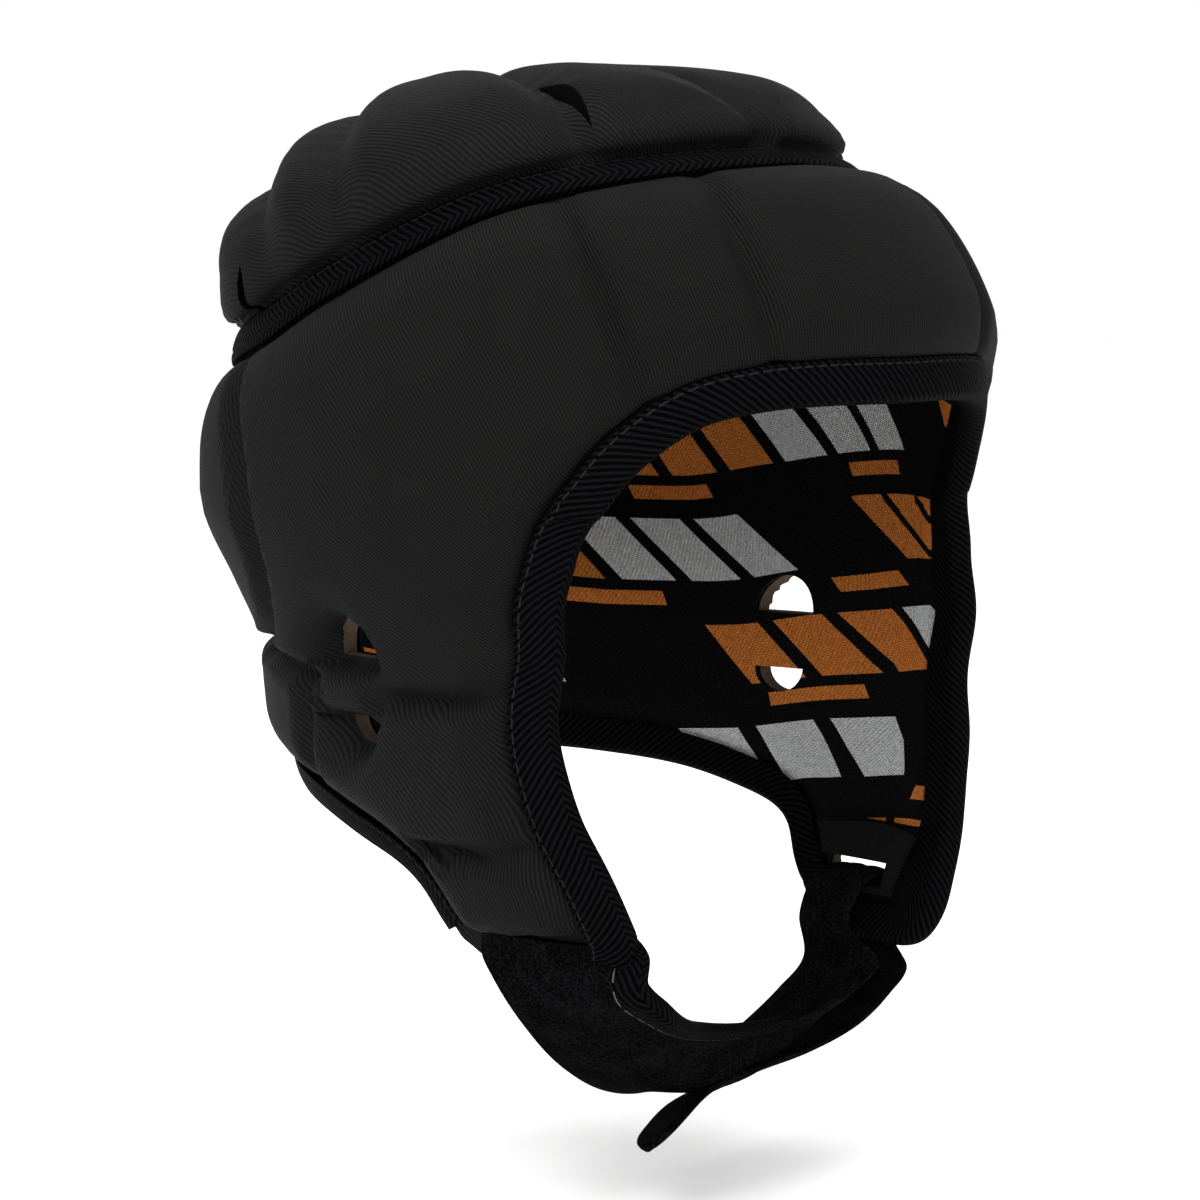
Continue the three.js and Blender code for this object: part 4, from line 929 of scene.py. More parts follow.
# distance from an ear opening, seen from the side, and 0 within it
def hole_distance(point, hole):
    width, flat, rise = ear_shape(hole)
    arc = ear_arc(hole, EAR_DISH_STEPS)
    loop = np.concatenate([arc, arc[:1]])
    loop = np.insert(loop, 0, 0, axis=1)
    rise_share = np.clip((point[:, 2] - flat) / rise, 0, 1)
    half = width / 2 * np.sqrt(1 - rise_share**2)
    within = (np.abs(point[:, 1] - EAR_Y) < half) & ((point[:, 2] - flat) / rise > 0)
    return np.where(within, 0, distance_to(point * (0, 1, 1), loop))


# the pads' height as a share: rounded at the edges, sewn down along lines, dished at the ears
def band_height(point, angle, side):
    below_seam = distance_to(point, seam_line(side)) - SEAM_MARGIN
    below_seam = below_seam * PAD_ROUNDING / BAND_TOP_ROUNDING
    inside = np.minimum.reduce([
        below_seam,
        distance_to(point, face_line(side)) - FACE_MARGIN,
        distance_to(point, tip_line(side)) - REAR_MARGIN,
    ])
    jaw = read_rows(JAW_LINE[side], np.abs(angle))[:, 1]
    low = (point[:, 2] < JAW_TOP) & (np.abs(angle) < JAW_END)
    above_jaw = (point[:, 2] - jaw) * PAD_ROUNDING / JAW_ROUNDING
    inside = np.where(low, np.minimum(inside, above_jaw), inside)
    pad = rounded_rise(inside, PAD_ROUNDING)
    for depth, reach, rows in BAND_LINES:
        line = line_on_head(rows, side)
        away = distance_to(point, line)
        pad *= stitched_dip(away, reach, depth)
        pad += pucker(point[:, 2], away, BAND_PUCKER) * (pad > PUCKER_FLOOR)
    depth, reach = GROOVE_DIP
    fade = np.clip((np.abs(point[:, 1] - EAR_Y) - GROOVE_START) / GROOVE_FADE, 0, 1)
    away = distance_to(point, line_on_head(EAR_GROOVE, side))
    pad *= stitched_dip(away, reach, depth * fade)
    pad += pucker(point[:, 1], away, GROOVE_PUCKER) * fade * (pad > PUCKER_FLOOR)
    for end in (-BAR_HALF_LENGTH, BAR_HALF_LENGTH):
        past = np.maximum(0, np.abs(point[:, 2] - BAR_MIDDLE) - BAR_HALF_HEIGHT)
        away = np.hypot(point[:, 1] - EAR_Y - end, past)
        pad *= stitched_dip(away, BAR_CREASE[1], BAR_CREASE[0])
    for hole in EAR_HOLES:
        aside = point[:, 1] - EAR_Y
        aslant = np.hypot(aside, point[:, 2] - (hole[1] + hole[2]) / 2)
        rearwards = np.clip(0.5 + EAR_SLANT * aside / np.maximum(aslant, 1e-6), 0, 1)
        over_bar = np.abs(point[:, 2] - BAR_MIDDLE) < BAR_HALF_HEIGHT
        rearwards = np.where(over_bar, 0, rearwards)
        reach = EAR_FRONT_REACH + (EAR_REAR_REACH - EAR_FRONT_REACH) * rearwards
        pad *= EAR_FLOOR + (1 - EAR_FLOOR) * rounded_rise(hole_distance(point, hole) - EAR_RIM, reach)
    return pad


band_nodes, band_quads, band_maps = weld(band_grids(stride=1))
band_halves = (band_height(band_nodes["point"], band_nodes["angle"], side) for side in (-1, 1))
band_pad = np.where(band_nodes["angle"] < 0, *band_halves)
band_rise = FLANGE_TOP + (BAND_PAD - FLANGE) * np.maximum(band_pad, 0)
brow_heights = (BROW_LOW, PANEL_INSIDE + BAND_PAD)
brow_lean = overhang(band_nodes, band_rise, both_sides(face_line), brow_heights, BROW_REACH)
brow_share = np.clip((BROW_END - np.abs(band_nodes["angle"])) / BROW_FADE, 0, 1)[:, None]
band_top = raised(band_nodes, band_rise[:, None]) + brow_lean * brow_share * BROW_OVERHANG
band_back = raised(band_nodes, PANEL_INSIDE)
band = shell_piece("band_padding", band_top, band_back, band_quads, band_maps)
foam, shader, shade, _, _ = cloth_material("tan_foam", roughness=0.9, specular=0.1)
base = noise(shade, scale=900, detail=2).mix(FOAM_TAN, FOAM_LIGHT)
finish_material(shade, shader, base, noise(shade, scale=2600, detail=2), bump_mm=0.3)
band.data.materials.append(knit)
for cutter in (*map(ear_cutter, EAR_HOLES), slot_cutter()):
    cutter.data.materials.append(foam)
    cut_out(band, cutter)
smooth_faces(band, PAD_CREASE)
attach(band, "root")
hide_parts("band_panel")


# Crown binding
# A twill tape about 8 mm wide, sewn flat over the seam between crown and band, all the way round the
# head. It bulges a little and is drawn in along its stitches.
TAPE_BLACK = (0.0006, 0.0006, 0.0007)
TAPE_LIGHT = (0.0052, 0.0054, 0.0061)
THREAD_DARK = (0.012, 0.012, 0.013)
TWILL_PITCH = 1.9
TWILL_SLANT = 0.9
YARN_PITCH = 0.7
YARN_SLANT = 0.8
YARN_TONE = 0.6
TAPE_WOBBLE = 0.4
TWILL_BUMP, YARN_BUMP, STITCH_BUMP = 0.7, 0.15, 0.4
STITCH_HALF = 0.22
STITCH_PITCH = 3.0
STITCH_LENGTH = 2.1
TAPE_CREASE = 60
CROWN_TAPE_HALF = 4.1
CROWN_TAPE_STEPS = 400
CROWN_TAPE_ACROSS, CROWN_TAPE_BACK = 17, 5
CROWN_TAPE_GAP = 0.65
CROWN_TAPE_EDGE = 1.1
CROWN_TAPE_BULGE = 1.25
CROWN_TAPE_ROUND = 0.35
# depth, place and half width of the furrow along the stitches
CROWN_TAPE_FURROW = (0.35, 1.3, 0.45)


def run_along(points):
    return np.concatenate([[0], np.cumsum(np.linalg.norm(np.diff(points, axis=0), axis=1))])


# for each place along a tape, the step on the head form for a millimetre across it, and the run
def tape_frames(places, smoothing, closed):
    angle, z = places.T
    around, up = head_directions(angle, z)
    normal = unit(np.cross(around, up))
    point = head_point(angle, z)
    if closed:
        tangent = unit(np.roll(point, -1, 0) - np.roll(point, 1, 0))
    else:
        tangent = unit(np.gradient(point, axis=0))
    across = np.cross(normal, tangent)
    kernel = np.hanning(smoothing + 2)[1:-1]
    kernel /= kernel.sum()
    pad = smoothing // 2
    padded = np.pad(across, ((pad, pad), (0, 0)), mode="wrap" if closed else "edge")
    across = unit(np.stack([np.convolve(padded[:, k], kernel, "valid") for k in range(3)], -1))
    pairs = ((around, around), (around, up), (up, up), (across, around), (across, up))
    uu, uv, vv, au, av = (np.einsum("ij,ij->i", first, second) for first, second in pairs)
    step = np.stack([au * vv - av * uv, av * uu - au * uv], -1) / (uu * vv - uv * uv)[:, None]
    return step, run_along(point)


# a tape along places on the head form; its section is given across the tape and out from the head
def tape_piece(name, places, section, closed, smoothing):
    step, run = tape_frames(places, smoothing, closed)
    rows = []
    for x, y in section:
        moved = places + step * x
        rows.append(head_point(*moved.T) + head_normal(*moved.T) * y)
    return loft_piece(name, np.stack(rows, 1), run, section, closed)


# a closed skin through rings of points, with its ends capped where it does not run round
def loft_piece(name, ring, run, section, closed):
    count, around = ring.shape[:2]
    section = np.asarray(section)
    girth = run_along(section)
    girth = np.append(girth, girth[-1] + np.linalg.norm(section[0] - section[-1]))
    closing = np.linalg.norm(ring[0] - ring[-1], axis=-1).mean()
    run = np.append(run, run[-1] + closing)
    faces, maps = [], []
    for i in range(count if closed else count - 1):
        for j in range(around):
            k, m = (i + 1) % count, (j + 1) % around
            faces.append([i * around + j, k * around + j, k * around + m, i * around + m])
            corners = ((i, j), (i + 1, j), (i + 1, j + 1), (i, j + 1))
            maps.append([(run[station], girth[place]) for station, place in corners])
    if not closed:
        for i, order in ((0, range(around)), (count - 1, reversed(range(around)))):
            order = list(order)
            faces.append([i * around + j for j in order])
            maps.append([(run[i], girth[j]) for j in order])
    face_way = np.cross(ring[1, 0] - ring[0, 0], ring[0, 1] - ring[0, 0])
    outwards = ring[0, 0] - ring[0].mean(0)
    if face_way @ outwards < 0:
        faces = [face[::-1] for face in faces]
        maps = [corner[::-1] for corner in maps]
    return mesh_piece(name, ring.reshape(-1, 3), faces, maps)


# a twill that turns at the tape's fold, with a row of stitches along the seam
def twill_material(name, fold, seam, thread):
    material, shader, shade, u, v = cloth_material(name, roughness=0.6, specular=0.006)
    wobble = noise(shade, scale=300, detail=1) * TAPE_WOBBLE
    twill = (u + (v - fold).size() * TWILL_SLANT + wobble).wave(TWILL_PITCH)
    yarn = (u * YARN_SLANT - v + wobble).wave(YARN_PITCH)
    stitch = ((v - seam).size() < STITCH_HALF) * (u.wrapped(STITCH_PITCH) < STITCH_LENGTH)
    tone = twill.step(0.2, 0.9) * (yarn * YARN_TONE + (1 - YARN_TONE))
    base = stitch.mix(tone.mix(TAPE_BLACK, TAPE_LIGHT), thread)
    height = twill * TWILL_BUMP + yarn * YARN_BUMP + stitch * STITCH_BUMP
    finish_material(shade, shader, base, height, bump_mm=0.4)
    return material


turn = np.linspace(-180, 180, CROWN_TAPE_STEPS, endpoint=False)
crown_places = np.stack([turn, seam_height(turn)], -1)
base_height = FLANGE_TOP + CROWN_TAPE_GAP
width = np.linspace(CROWN_TAPE_HALF, -CROWN_TAPE_HALF, CROWN_TAPE_ACROSS)
rounded = np.sqrt(np.clip(1 - (width / (CROWN_TAPE_HALF + CROWN_TAPE_ROUND)) ** 2, 0, 1))
depth, place, half_width = CROWN_TAPE_FURROW
furrow = depth * np.exp(-(((width + place) / half_width) ** 2))
bulge = CROWN_TAPE_EDGE + CROWN_TAPE_BULGE * rounded - furrow
crown_section = [(x, base_height + h) for x, h in zip(width, bulge)]
back = np.linspace(-CROWN_TAPE_HALF, CROWN_TAPE_HALF, CROWN_TAPE_BACK)
crown_section += [(x, base_height) for x in back]
crown_tape = tape_piece("crown_tape", crown_places, crown_section, closed=True, smoothing=5)
smooth_faces(crown_tape, TAPE_CREASE)
crown_twill = twill_material("crown_twill", fold=6.0, seam=1.2, thread=THREAD_DARK)
crown_tape.data.materials.append(crown_twill)
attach(crown_tape, "root")
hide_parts("crown_binding")


# Face binding
# A twill tape folded over the front edge of band and lining, from the foot of one flap over the
# brow to the foot of the other.
TAPE_THICK = 1.5
FACE_TAPE_WIDTH = 7.2
LEG_GAP = 0.75
LEG_LIFT = 0.75
LEG_DROP = 0.5
LEG_POWER = 0.7
LEG_MIDDLE_LIFT = 0.3
INNER_LEG_GAP = 0.15
INNER_LEG_THICK = 1.35
# how far the fold reaches out over the edge, and its hollow at the sides and in the middle
FOLD_REACH = 2.3
FOLD_HOLLOW_SIDE, FOLD_HOLLOW = 0.6, 0.8
LEG_STEPS, FOLD_STEPS, INNER_STEPS = 9, 15, 7
EDGE_FINENESS = 6
EDGE_SMOOTHING = 13
# where the tape ends, in rows of the flaps' outlines
RIGHT_TAPE_END = len(FACE_EDGE) + 0.7
LEFT_TAPE_END = len(FACE_EDGE) + len(FLAP_TIP[1]) - 0.42


# a tape's section: the leg outside, the fold over the edge, the leg inside and the hollow between
def folded_section(width):
    inside_top = FLANGE_TOP + LEG_GAP
    top = inside_top + TAPE_THICK
    low = LINING_INSIDE - INNER_LEG_GAP
    inside_low = low + INNER_LEG_THICK
    outer = []
    for x in np.linspace(width, 0, LEG_STEPS):
        lift = (LEG_LIFT + LEG_DROP) * math.sin(math.pi / 2 * x / width) ** LEG_POWER
        outer.append((x, top - LEG_DROP + lift))
    start = outer[-1][1]
    middle, half = (start + low) / 2, (start - low) / 2
    bend = np.linspace(math.pi / 2, -math.pi / 2, FOLD_STEPS)[1:-1]
    fold = [(-FOLD_REACH * math.cos(t), middle + half * math.sin(t)) for t in bend]
    inner = [(x, low) for x in np.linspace(0, width, INNER_STEPS)]
    hollow = [
        (width, inside_low), (width / 2, inside_low), (-FOLD_HOLLOW_SIDE, inside_low),
        (-FOLD_HOLLOW, (inside_low + inside_top) / 2), (-FOLD_HOLLOW_SIDE, inside_top),
        (width / 2, inside_top + LEG_MIDDLE_LIFT), (width, inside_top + LEG_LIFT),
    ]
    return outer + fold + inner + hollow


# even places along the outline between two of its rows
def edge_places(side, first, last, count):
    place = outline_place(side, np.linspace(first, last, EDGE_FINENESS * count))
    run = run_along(head_point(side * place[:, 0], place[:, 1]))
    even = np.linspace(0, run[-1], count)
    return np.stack([np.interp(even, run, place[:, 0]) * side, np.interp(even, run, place[:, 1])], -1)


twill = twill_material("edge_twill", fold=FACE_TAPE_WIDTH + 2.6, seam=1.1, thread=THREAD_DARK)
right_half = edge_places(-1, 0, RIGHT_TAPE_END, count=170)[::-1]
left_half = edge_places(1, 0, LEFT_TAPE_END, count=220)[1:]
face_places = np.concatenate([right_half, left_half])
face_section = folded_section(FACE_TAPE_WIDTH)
face_tape = tape_piece("face_tape", face_places, face_section, closed=False, smoothing=EDGE_SMOOTHING)
smooth_faces(face_tape, TAPE_CREASE)
face_tape.data.materials.append(twill)
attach(face_tape, "root")
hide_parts("face_binding")


# Rear binding
# A second, narrower length of the same tape, folded over the lower edge. It runs from the foot of one
# flap round the nape to the foot of the other.
REAR_TAPE_WIDTH = 6.3
REAR_RIGHT_START = len(FACE_EDGE) + len(FLAP_TIP[-1]) - 0.2
REAR_LEFT_START = len(FACE_EDGE) + len(FLAP_TIP[1]) - 0.4
rear_right = edge_places(-1, REAR_RIGHT_START, len(outline_rows(-1)) - 1, count=110)
rear_left = edge_places(1, REAR_LEFT_START, len(outline_rows(1)) - 1, count=110)
rear_right[:, 0] += 360
rear_places = np.concatenate([rear_left, rear_right[::-1][1:]])
rear_section = folded_section(REAR_TAPE_WIDTH)
rear_tape = tape_piece("rear_tape", rear_places, rear_section, closed=False, smoothing=EDGE_SMOOTHING)
smooth_faces(rear_tape, TAPE_CREASE)
rear_tape.data.materials.append(twill)
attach(rear_tape, "root")
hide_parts("rear_binding")


# Slot patch
# A plain reinforcing cloth behind the slot in the left flap, sewn down at its sides. Its top edge is
# arched, it narrows to its foot, and the strap passes through it.
PATCH_TOP, PATCH_FOOT = -177.0, -192.5
PATCH_FRONT = 68.5
PATCH_REAR_TOP, PATCH_REAR_FOOT = 90.5, 84.8
PATCH_ARCH = 1.6
PATCH_OUT = LINING_INSIDE - 2.4
PATCH_STEPS = 25
PATCH_PER_DEGREE = 1.2
PATCH_WEAVE_TURN = 9.0
PATCH_BLACK = (0.001, 0.001, 0.0011)
PATCH_LIGHT = (0.0062, 0.0062, 0.0068)
share = np.linspace(0, 1, PATCH_STEPS)
down, over = np.meshgrid(share, share, indexing="ij")
curve = PATCH_ARCH * np.sin(np.pi * over) * (1 - down)
patch_z = PATCH_TOP + (PATCH_FOOT - PATCH_TOP) * down + curve
patch_rear = PATCH_REAR_TOP + (PATCH_REAR_FOOT - PATCH_REAR_TOP) * down
patch_angle = PATCH_FRONT + (patch_rear - PATCH_FRONT) * over
patch_grid = {
    "point": head_point(patch_angle, patch_z),
    "normal": head_normal(patch_angle, patch_z),
    "uv": np.stack([patch_angle * PATCH_PER_DEGREE, (PATCH_TOP - PATCH_FOOT) * down], -1),
}
patch_nodes, patch_quads, patch_maps = weld([patch_grid])
patch_sides = (raised(patch_nodes, PATCH_OUT), raised(patch_nodes, PATCH_OUT - LINING_THICK))
patch = shell_piece("slot_patch_cloth", *patch_sides, patch_quads, patch_maps)
patch_material, shader, shade, u, v = cloth_material("plain_black_cloth", roughness=0.7, specular=0.04)
weave = plain_weave(u, v, PATCH_WEAVE_TURN)
base = weave.step(-0.6, 1.0).mix(PATCH_BLACK, PATCH_LIGHT)
finish_material(shade, shader, base, weave, bump_mm=0.12)
patch.data.materials.append(patch_material)
cut_out(patch, slot_cutter())
smooth_faces(patch, CLOTH_CREASE)
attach(patch, "root")
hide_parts("slot_patch")


# Chin strap
# A soft strap of brushed velour, about 2 mm thick and ridged on its inside. It grows from the foot of
# the right flap, passes under the chin, goes out through the slot on the left and turns back.
STRAP_THICK = 2.2
STRAP_WIDTH = 30
STRAP_STATIONS = 300
STRAP_ACROSS = 21
# the strap is thinner at its edges, ridged along its run inside, and rounded at its loose end
STRAP_EDGE_THIN = 0.35
STRAP_EDGE_SLOPE = 6
RIDGE_HEIGHT = 0.28
RIDGE_TURNS = 6
STRAP_END = 9
STRAP_END_LEAST = 0.02
# how far the strap bows across under the chin, and on which share of its run
STRAP_BOW = 7.5
STRAP_BOW_START = 0.12
STRAP_BOW_END = 0.40
# on the flaps: angles of the front edge and the rear edge, height, offset from the head form
STRAP_ON_RIGHT = [(62, 87, -186, 4.9), (62, 87.5, -192.5, 5)]
# between the flaps: points of the front edge and the rear edge
STRAP_UNDER_CHIN = [
    ((-54.5, -86, -197.5), (-61, -45, -201)), ((-48, -87.5, -203.5), (-53.5, -45.5, -211)),
    ((-38, -84, -208.5), (-42, -45.5, -222.5)), ((-24, -77, -212.5), (-27, -45, -231.5)),
    ((-8, -73, -215.5), (-9, -43.5, -235)), ((8, -72, -216.5), (8, -44, -231)),
    ((23, -73, -215.5), (23, -45.5, -223)), ((36, -73, -211.5), (36.5, -46, -215.5)),
    ((45, -72, -206.5), (46, -46, -208.5)),
]
STRAP_THROUGH_SLOT = [
    (75, 86.5, -201, -7.2), (75, 86.5, -192.5, -7), (75, 86.5, -187.6, -4.4), (75, 86.5, -185.4, 1.2),
    (75, 86.5, -185.4, 5.4), (75, 86.5, -187, 9.2), (75, 86.5, -192.5, 10.4), (75, 86.5, -200, 10.2),
]
STRAP_RETURN = [
    ((60.5, -70, -211), (61.5, -45, -213)), ((53, -70.5, -217), (53.5, -45, -220)),
    ((41, -71, -223), (41, -45, -227)), ((25, -70, -227.5), (25, -45, -233)),
    ((8, -68.5, -229.5), (8, -46, -239)), ((-7, -66.5, -232.5), (-7, -48, -242)),
    ((-18, -66.5, -238.5), (-17, -51, -245)), ((-27, -67, -244), (-25, -54, -248)),
]
VELOUR_DARK = (0.0007, 0.0007, 0.0008)
VELOUR_LIGHT = (0.0062, 0.0064, 0.0071)
FUZZ_TONE, PATCHES_TONE = 0.72, 0.28


# knots of the strap's front edge (0) or rear edge (1), along its whole run
def strap_edge(which):
    rows = []
    for side, table in ((-1, STRAP_ON_RIGHT), (1, STRAP_THROUGH_SLOT)):
        part = []
        for row in table:
            angle = side * row[which]
            part.append(head_point(angle, row[2]) + head_normal(angle, row[2]) * row[3])
        rows.append(part)
    under = [np.array(row[which], float) for row in STRAP_UNDER_CHIN]
    back = [np.array(row[which], float) for row in STRAP_RETURN]
    return np.array(rows[0] + under + rows[1] + back)


# a curve through knots that does not overshoot where they lie close
def centripetal(points, share):
    last = len(points) - 1
    place = share * last
    i = np.minimum(place.astype(int), last - 1)
    t = (place - i)[:, None]
    full = np.concatenate([[2 * points[0] - points[1]], points, [2 * points[-1] - points[-2]]])
    a, b, c, d = full[i], full[i + 1], full[i + 2], full[i + 3]
    legs = (b - a, c - b, d - c)
    ab, bc, cd = (np.linalg.norm(leg, axis=1, keepdims=True) ** 0.5 for leg in legs)
    slope_b = ((b - a) / ab - (c - a) / (ab + bc) + (c - b) / bc) * bc
    slope_c = ((c - b) / bc - (d - b) / (bc + cd) + (d - c) / cd) * bc
    e, f = -3 * b + 3 * c - 2 * slope_b - slope_c, 2 * b - 2 * c + slope_b + slope_c
    return b + slope_b * t + e * t**2 + f * t**3


share = np.linspace(0, 1, STRAP_STATIONS)
front_knots, rear_knots = strap_edge(0), strap_edge(1)
front_edge, rear_edge = centripetal(front_knots, share), centripetal(rear_knots, share)
middle_line = centripetal((front_knots + rear_knots) / 2, share)
strap_across = unit(rear_edge - front_edge)
strap_out = unit(np.cross(strap_across, np.gradient(middle_line, axis=0)))
strap_run = run_along(middle_line)
over = np.linspace(0, 1, STRAP_ACROSS)
ridge = RIDGE_HEIGHT * np.cos(over * RIDGE_TURNS * np.pi) * np.sin(np.pi * over)
thinned = np.minimum(1, STRAP_EDGE_SLOPE * np.minimum(over, 1 - over) + STRAP_EDGE_THIN)
strap_top = STRAP_THICK * (0.5 + 0.5 * thinned)
strap_low = STRAP_THICK * (0.5 - 0.5 * thinned) - ridge
strap_section = [*zip(over, strap_top), *zip(over[::-1], strap_low[::-1])]
near_end = np.clip(1 - (strap_run[-1] - strap_run) / STRAP_END, 0, 1)
end_round = np.sqrt(np.clip(1 - near_end**2, STRAP_END_LEAST, 1))
under_chin = np.clip((share - STRAP_BOW_START) / (STRAP_BOW_END - STRAP_BOW_START), 0, 1)
bow = STRAP_BOW * np.sin(np.pi * under_chin) ** 2
rings = []
for s, h in strap_section:
    eased = 0.5 + (s - 0.5) * end_round[:, None]
    lift = h + bow[:, None] * math.sin(math.pi * s) ** 2
    rings.append(front_edge + (rear_edge - front_edge) * eased + strap_out * lift)
strap_outline = [(s * STRAP_WIDTH, h) for s, h in strap_section]
strap = loft_piece("chin_strap_cloth", np.stack(rings, 1), strap_run, strap_outline, closed=False)
smooth_faces(strap, TAPE_CREASE)
velour, shader, shade, _, _ = cloth_material("brushed_velour", roughness=0.9, specular=0.005)
fuzz = noise(shade, scale=1300, detail=4)
patches = noise(shade, scale=120, detail=3)
tone = fuzz * FUZZ_TONE + patches * PATCHES_TONE
base = tone.step(0.38, 0.68).mix(VELOUR_DARK, VELOUR_LIGHT)
finish_material(shade, shader, base, fuzz, bump_mm=0.7)
strap.data.materials.append(velour)
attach(strap, "root")
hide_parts("chin_strap")


# Strap binding
# A short length of the edge tape folded over the front edge of the strap. It starts on the right flap
# under the face tape, and it narrows and thins past the strap's bend.
STRAP_TAPE_WIDTH = 6.0
STRAP_TAPE_OUT = 2.3
STRAP_TAPE_GAP = 0.8
STRAP_TAPE_LIFT = 0.3
STRAP_TAPE_ROUND = 0.8
STRAP_FOLD_EASE = 0.05
STRAP_FOLD_STEPS = 13
# the tape's first knots, and which knots of the strap's front edge it follows from there
STRAP_TAPE_START = [(-54.5, -73, -179), (-52.8, -78.2, -184.5), (-52.2, -84.3, -190.5)]
STRAP_TAPE_ROWS = slice(2, 8)
STRAP_TAPE_STATIONS = 90
STRAP_TAPE_SLIM = 0.4
THREAD_PALE = (0.09, 0.09, 0.095)
# share of the tape's run, share of its width, share of its thickness
STRAP_TAPE_TAPER = np.array([
    (0, 1, 1), (0.4, 1, 1), (0.62, 0.45, 0.66), (0.85, 0.35, 0.56), (1, 0.1, 0.5),
])
outer_top, outer_low = STRAP_THICK + STRAP_TAPE_OUT, -STRAP_TAPE_OUT
leg = np.linspace(STRAP_TAPE_WIDTH, 0, LEG_STEPS)
leg_turn = np.pi * (1 - leg / STRAP_TAPE_WIDTH) * STRAP_TAPE_ROUND
leg_top = outer_top - STRAP_TAPE_LIFT + STRAP_TAPE_LIFT * np.sin(leg_turn)
middle, half = (outer_top + outer_low) / 2, (outer_top - outer_low) / 2 - STRAP_FOLD_EASE
bend = np.linspace(math.pi / 2, -math.pi / 2, STRAP_FOLD_STEPS)[1:-1]
near, far = -STRAP_TAPE_GAP, STRAP_THICK + STRAP_TAPE_GAP
strap_tape_section = [
    *zip(leg, leg_top),
    *((-STRAP_TAPE_OUT * math.cos(t), middle + half * math.sin(t)) for t in bend),
    *((x, outer_low) for x in np.linspace(0, STRAP_TAPE_WIDTH, INNER_STEPS)),
    (STRAP_TAPE_WIDTH, near), (near, near), (near, far), (STRAP_TAPE_WIDTH, far),
]
tape_knots = np.concatenate([STRAP_TAPE_START, front_knots[STRAP_TAPE_ROWS]])
lead_in = np.repeat((rear_knots - front_knots)[:1], len(STRAP_TAPE_START), 0)
across_knots = unit(np.concatenate([lead_in, (rear_knots - front_knots)[STRAP_TAPE_ROWS]]))
share = np.linspace(0, 1, STRAP_TAPE_STATIONS)
tape_path = centripetal(tape_knots, share)
tape_across = unit(along_rows(across_knots, share * (len(tape_knots) - 1)))
tape_out = unit(np.cross(tape_across, np.gradient(tape_path, axis=0)))
swell = np.clip(share * (len(tape_knots) - 1) / len(STRAP_TAPE_START), 0, 1)[:, None]
swell = STRAP_TAPE_SLIM + (1 - STRAP_TAPE_SLIM) * swell * swell
taper_share, *tapers = STRAP_TAPE_TAPER.T
narrowed, thinned = (np.interp(share, taper_share, taper)[:, None] for taper in tapers)
rings = []
for x, y in strap_tape_section:
    sideways = x * (narrowed if x > 0 else thinned)
    lift = middle + (y - middle) * swell * thinned
    rings.append(tape_path + tape_across * sideways + tape_out * lift)
tape_ring, tape_run = np.stack(rings, 1), run_along(tape_path)
strap_tape = loft_piece("strap_tape", tape_ring, tape_run, strap_tape_section, closed=False)
smooth_faces(strap_tape, TAPE_CREASE)
strap_twill = twill_material("strap_twill", fold=STRAP_TAPE_WIDTH + 2.4, seam=1.1, thread=THREAD_PALE)
strap_tape.data.materials.append(strap_twill)
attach(strap_tape, "root")
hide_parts("strap_binding")


# Floor, light and camera
# A plain pale floor under the hanging headgear, soft studio light from three discs and all round, and
# the photo's view.
FLOOR_PALE = (0.99, 0.99, 0.99)
FLOOR_SIZE = 12
FLOOR_Z = -0.262
FLOOR_ROUGHNESS = 0.9
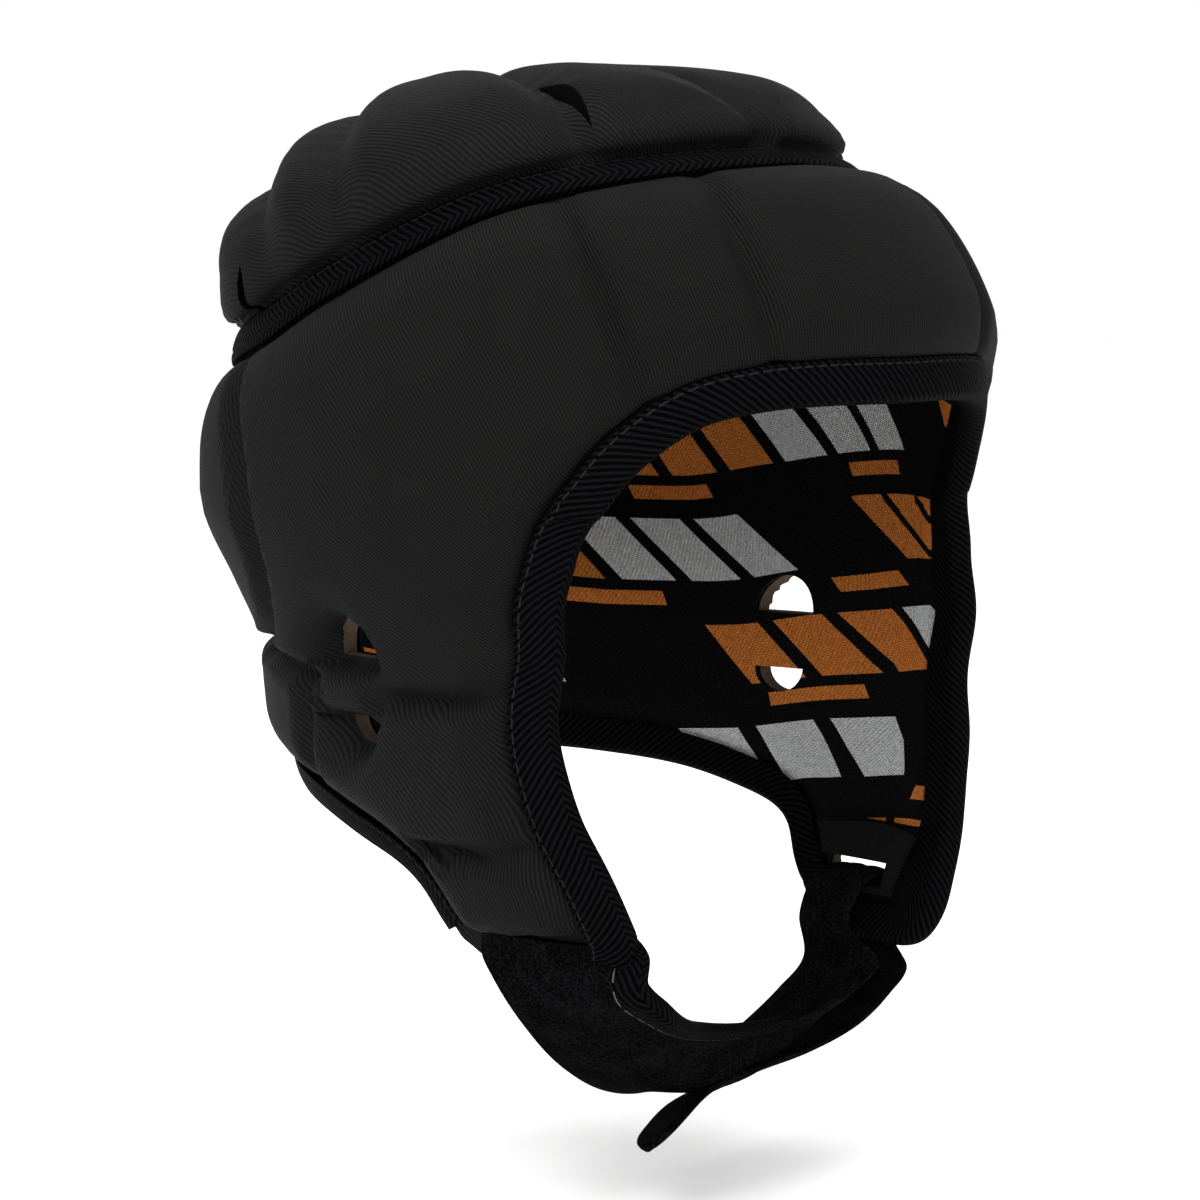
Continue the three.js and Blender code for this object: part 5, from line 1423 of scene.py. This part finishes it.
# name, place, aim, size and power
LIGHTS = [
    ("key", (-1.3, -0.4, 1.3), (0, 0, -0.12), 1.1, 26),
    ("fill", (-0.2, -1.6, 0.5), (0, 0, -0.12), 1.4, 10),
    ("top", (0.3, 0.2, 1.8), (0, 0, -0.1), 1.2, 20),
]
CAMERA_TURN, CAMERA_RISE = math.radians(-45), math.radians(5.6)
CAMERA_AIM = Vector((0, -0.018, -0.115))
CAMERA_LENS = 118.2
CAMERA_SENSOR = 36
CAMERA_NEAR = 0.05
bpy.ops.object.select_all(action="DESELECT")
bpy.ops.mesh.primitive_plane_add(size=FLOOR_SIZE, location=(0, 0, 0))
floor = bpy.context.object
floor.name = "floor"
floor.data.transform(Matrix.Translation((0, 0, FLOOR_Z)))
floor_material = bpy.data.materials.new("pale_floor")
floor_material.use_nodes = True
shader = floor_material.node_tree.nodes["Principled BSDF"]
shader.inputs["Base Color"].default_value = (*FLOOR_PALE, 1)
shader.inputs["Roughness"].default_value = FLOOR_ROUGHNESS
floor.data.materials.append(floor_material)
world = bpy.data.worlds.new("studio")
bpy.context.scene.world = world
world.use_nodes = True
world.node_tree.nodes["Background"].inputs["Color"].default_value = (1, 1, 1, 1)
world.node_tree.nodes["Background"].inputs["Strength"].default_value = 1.0
bpy.context.scene.view_settings.view_transform = "Standard"


def area_light(name, place, target, size, power):
    data = bpy.data.lights.new(name, "AREA")
    data.shape = "DISK"
    data.size = size
    data.energy = power
    lamp = bpy.data.objects.new(name, data)
    lamp.location = place
    aim = Vector(target) - Vector(place)
    lamp.rotation_euler = aim.to_track_quat("-Z", "Y").to_euler()
    bpy.context.collection.objects.link(lamp)


for light in LIGHTS:
    area_light(*light)
camera_data = bpy.data.cameras.new("photo_view")
camera_data.lens = CAMERA_LENS
camera_data.sensor_width = CAMERA_SENSOR
camera_data.clip_start = CAMERA_NEAR
camera = bpy.data.objects.new("photo_view", camera_data)
level = math.cos(CAMERA_RISE)
back = Vector((math.sin(CAMERA_TURN) * level, -math.cos(CAMERA_TURN) * level, math.sin(CAMERA_RISE)))
camera.location = CAMERA_AIM + back
camera.rotation_euler = back.to_track_quat("Z", "Y").to_euler()
bpy.context.collection.objects.link(camera)
bpy.context.scene.camera = camera
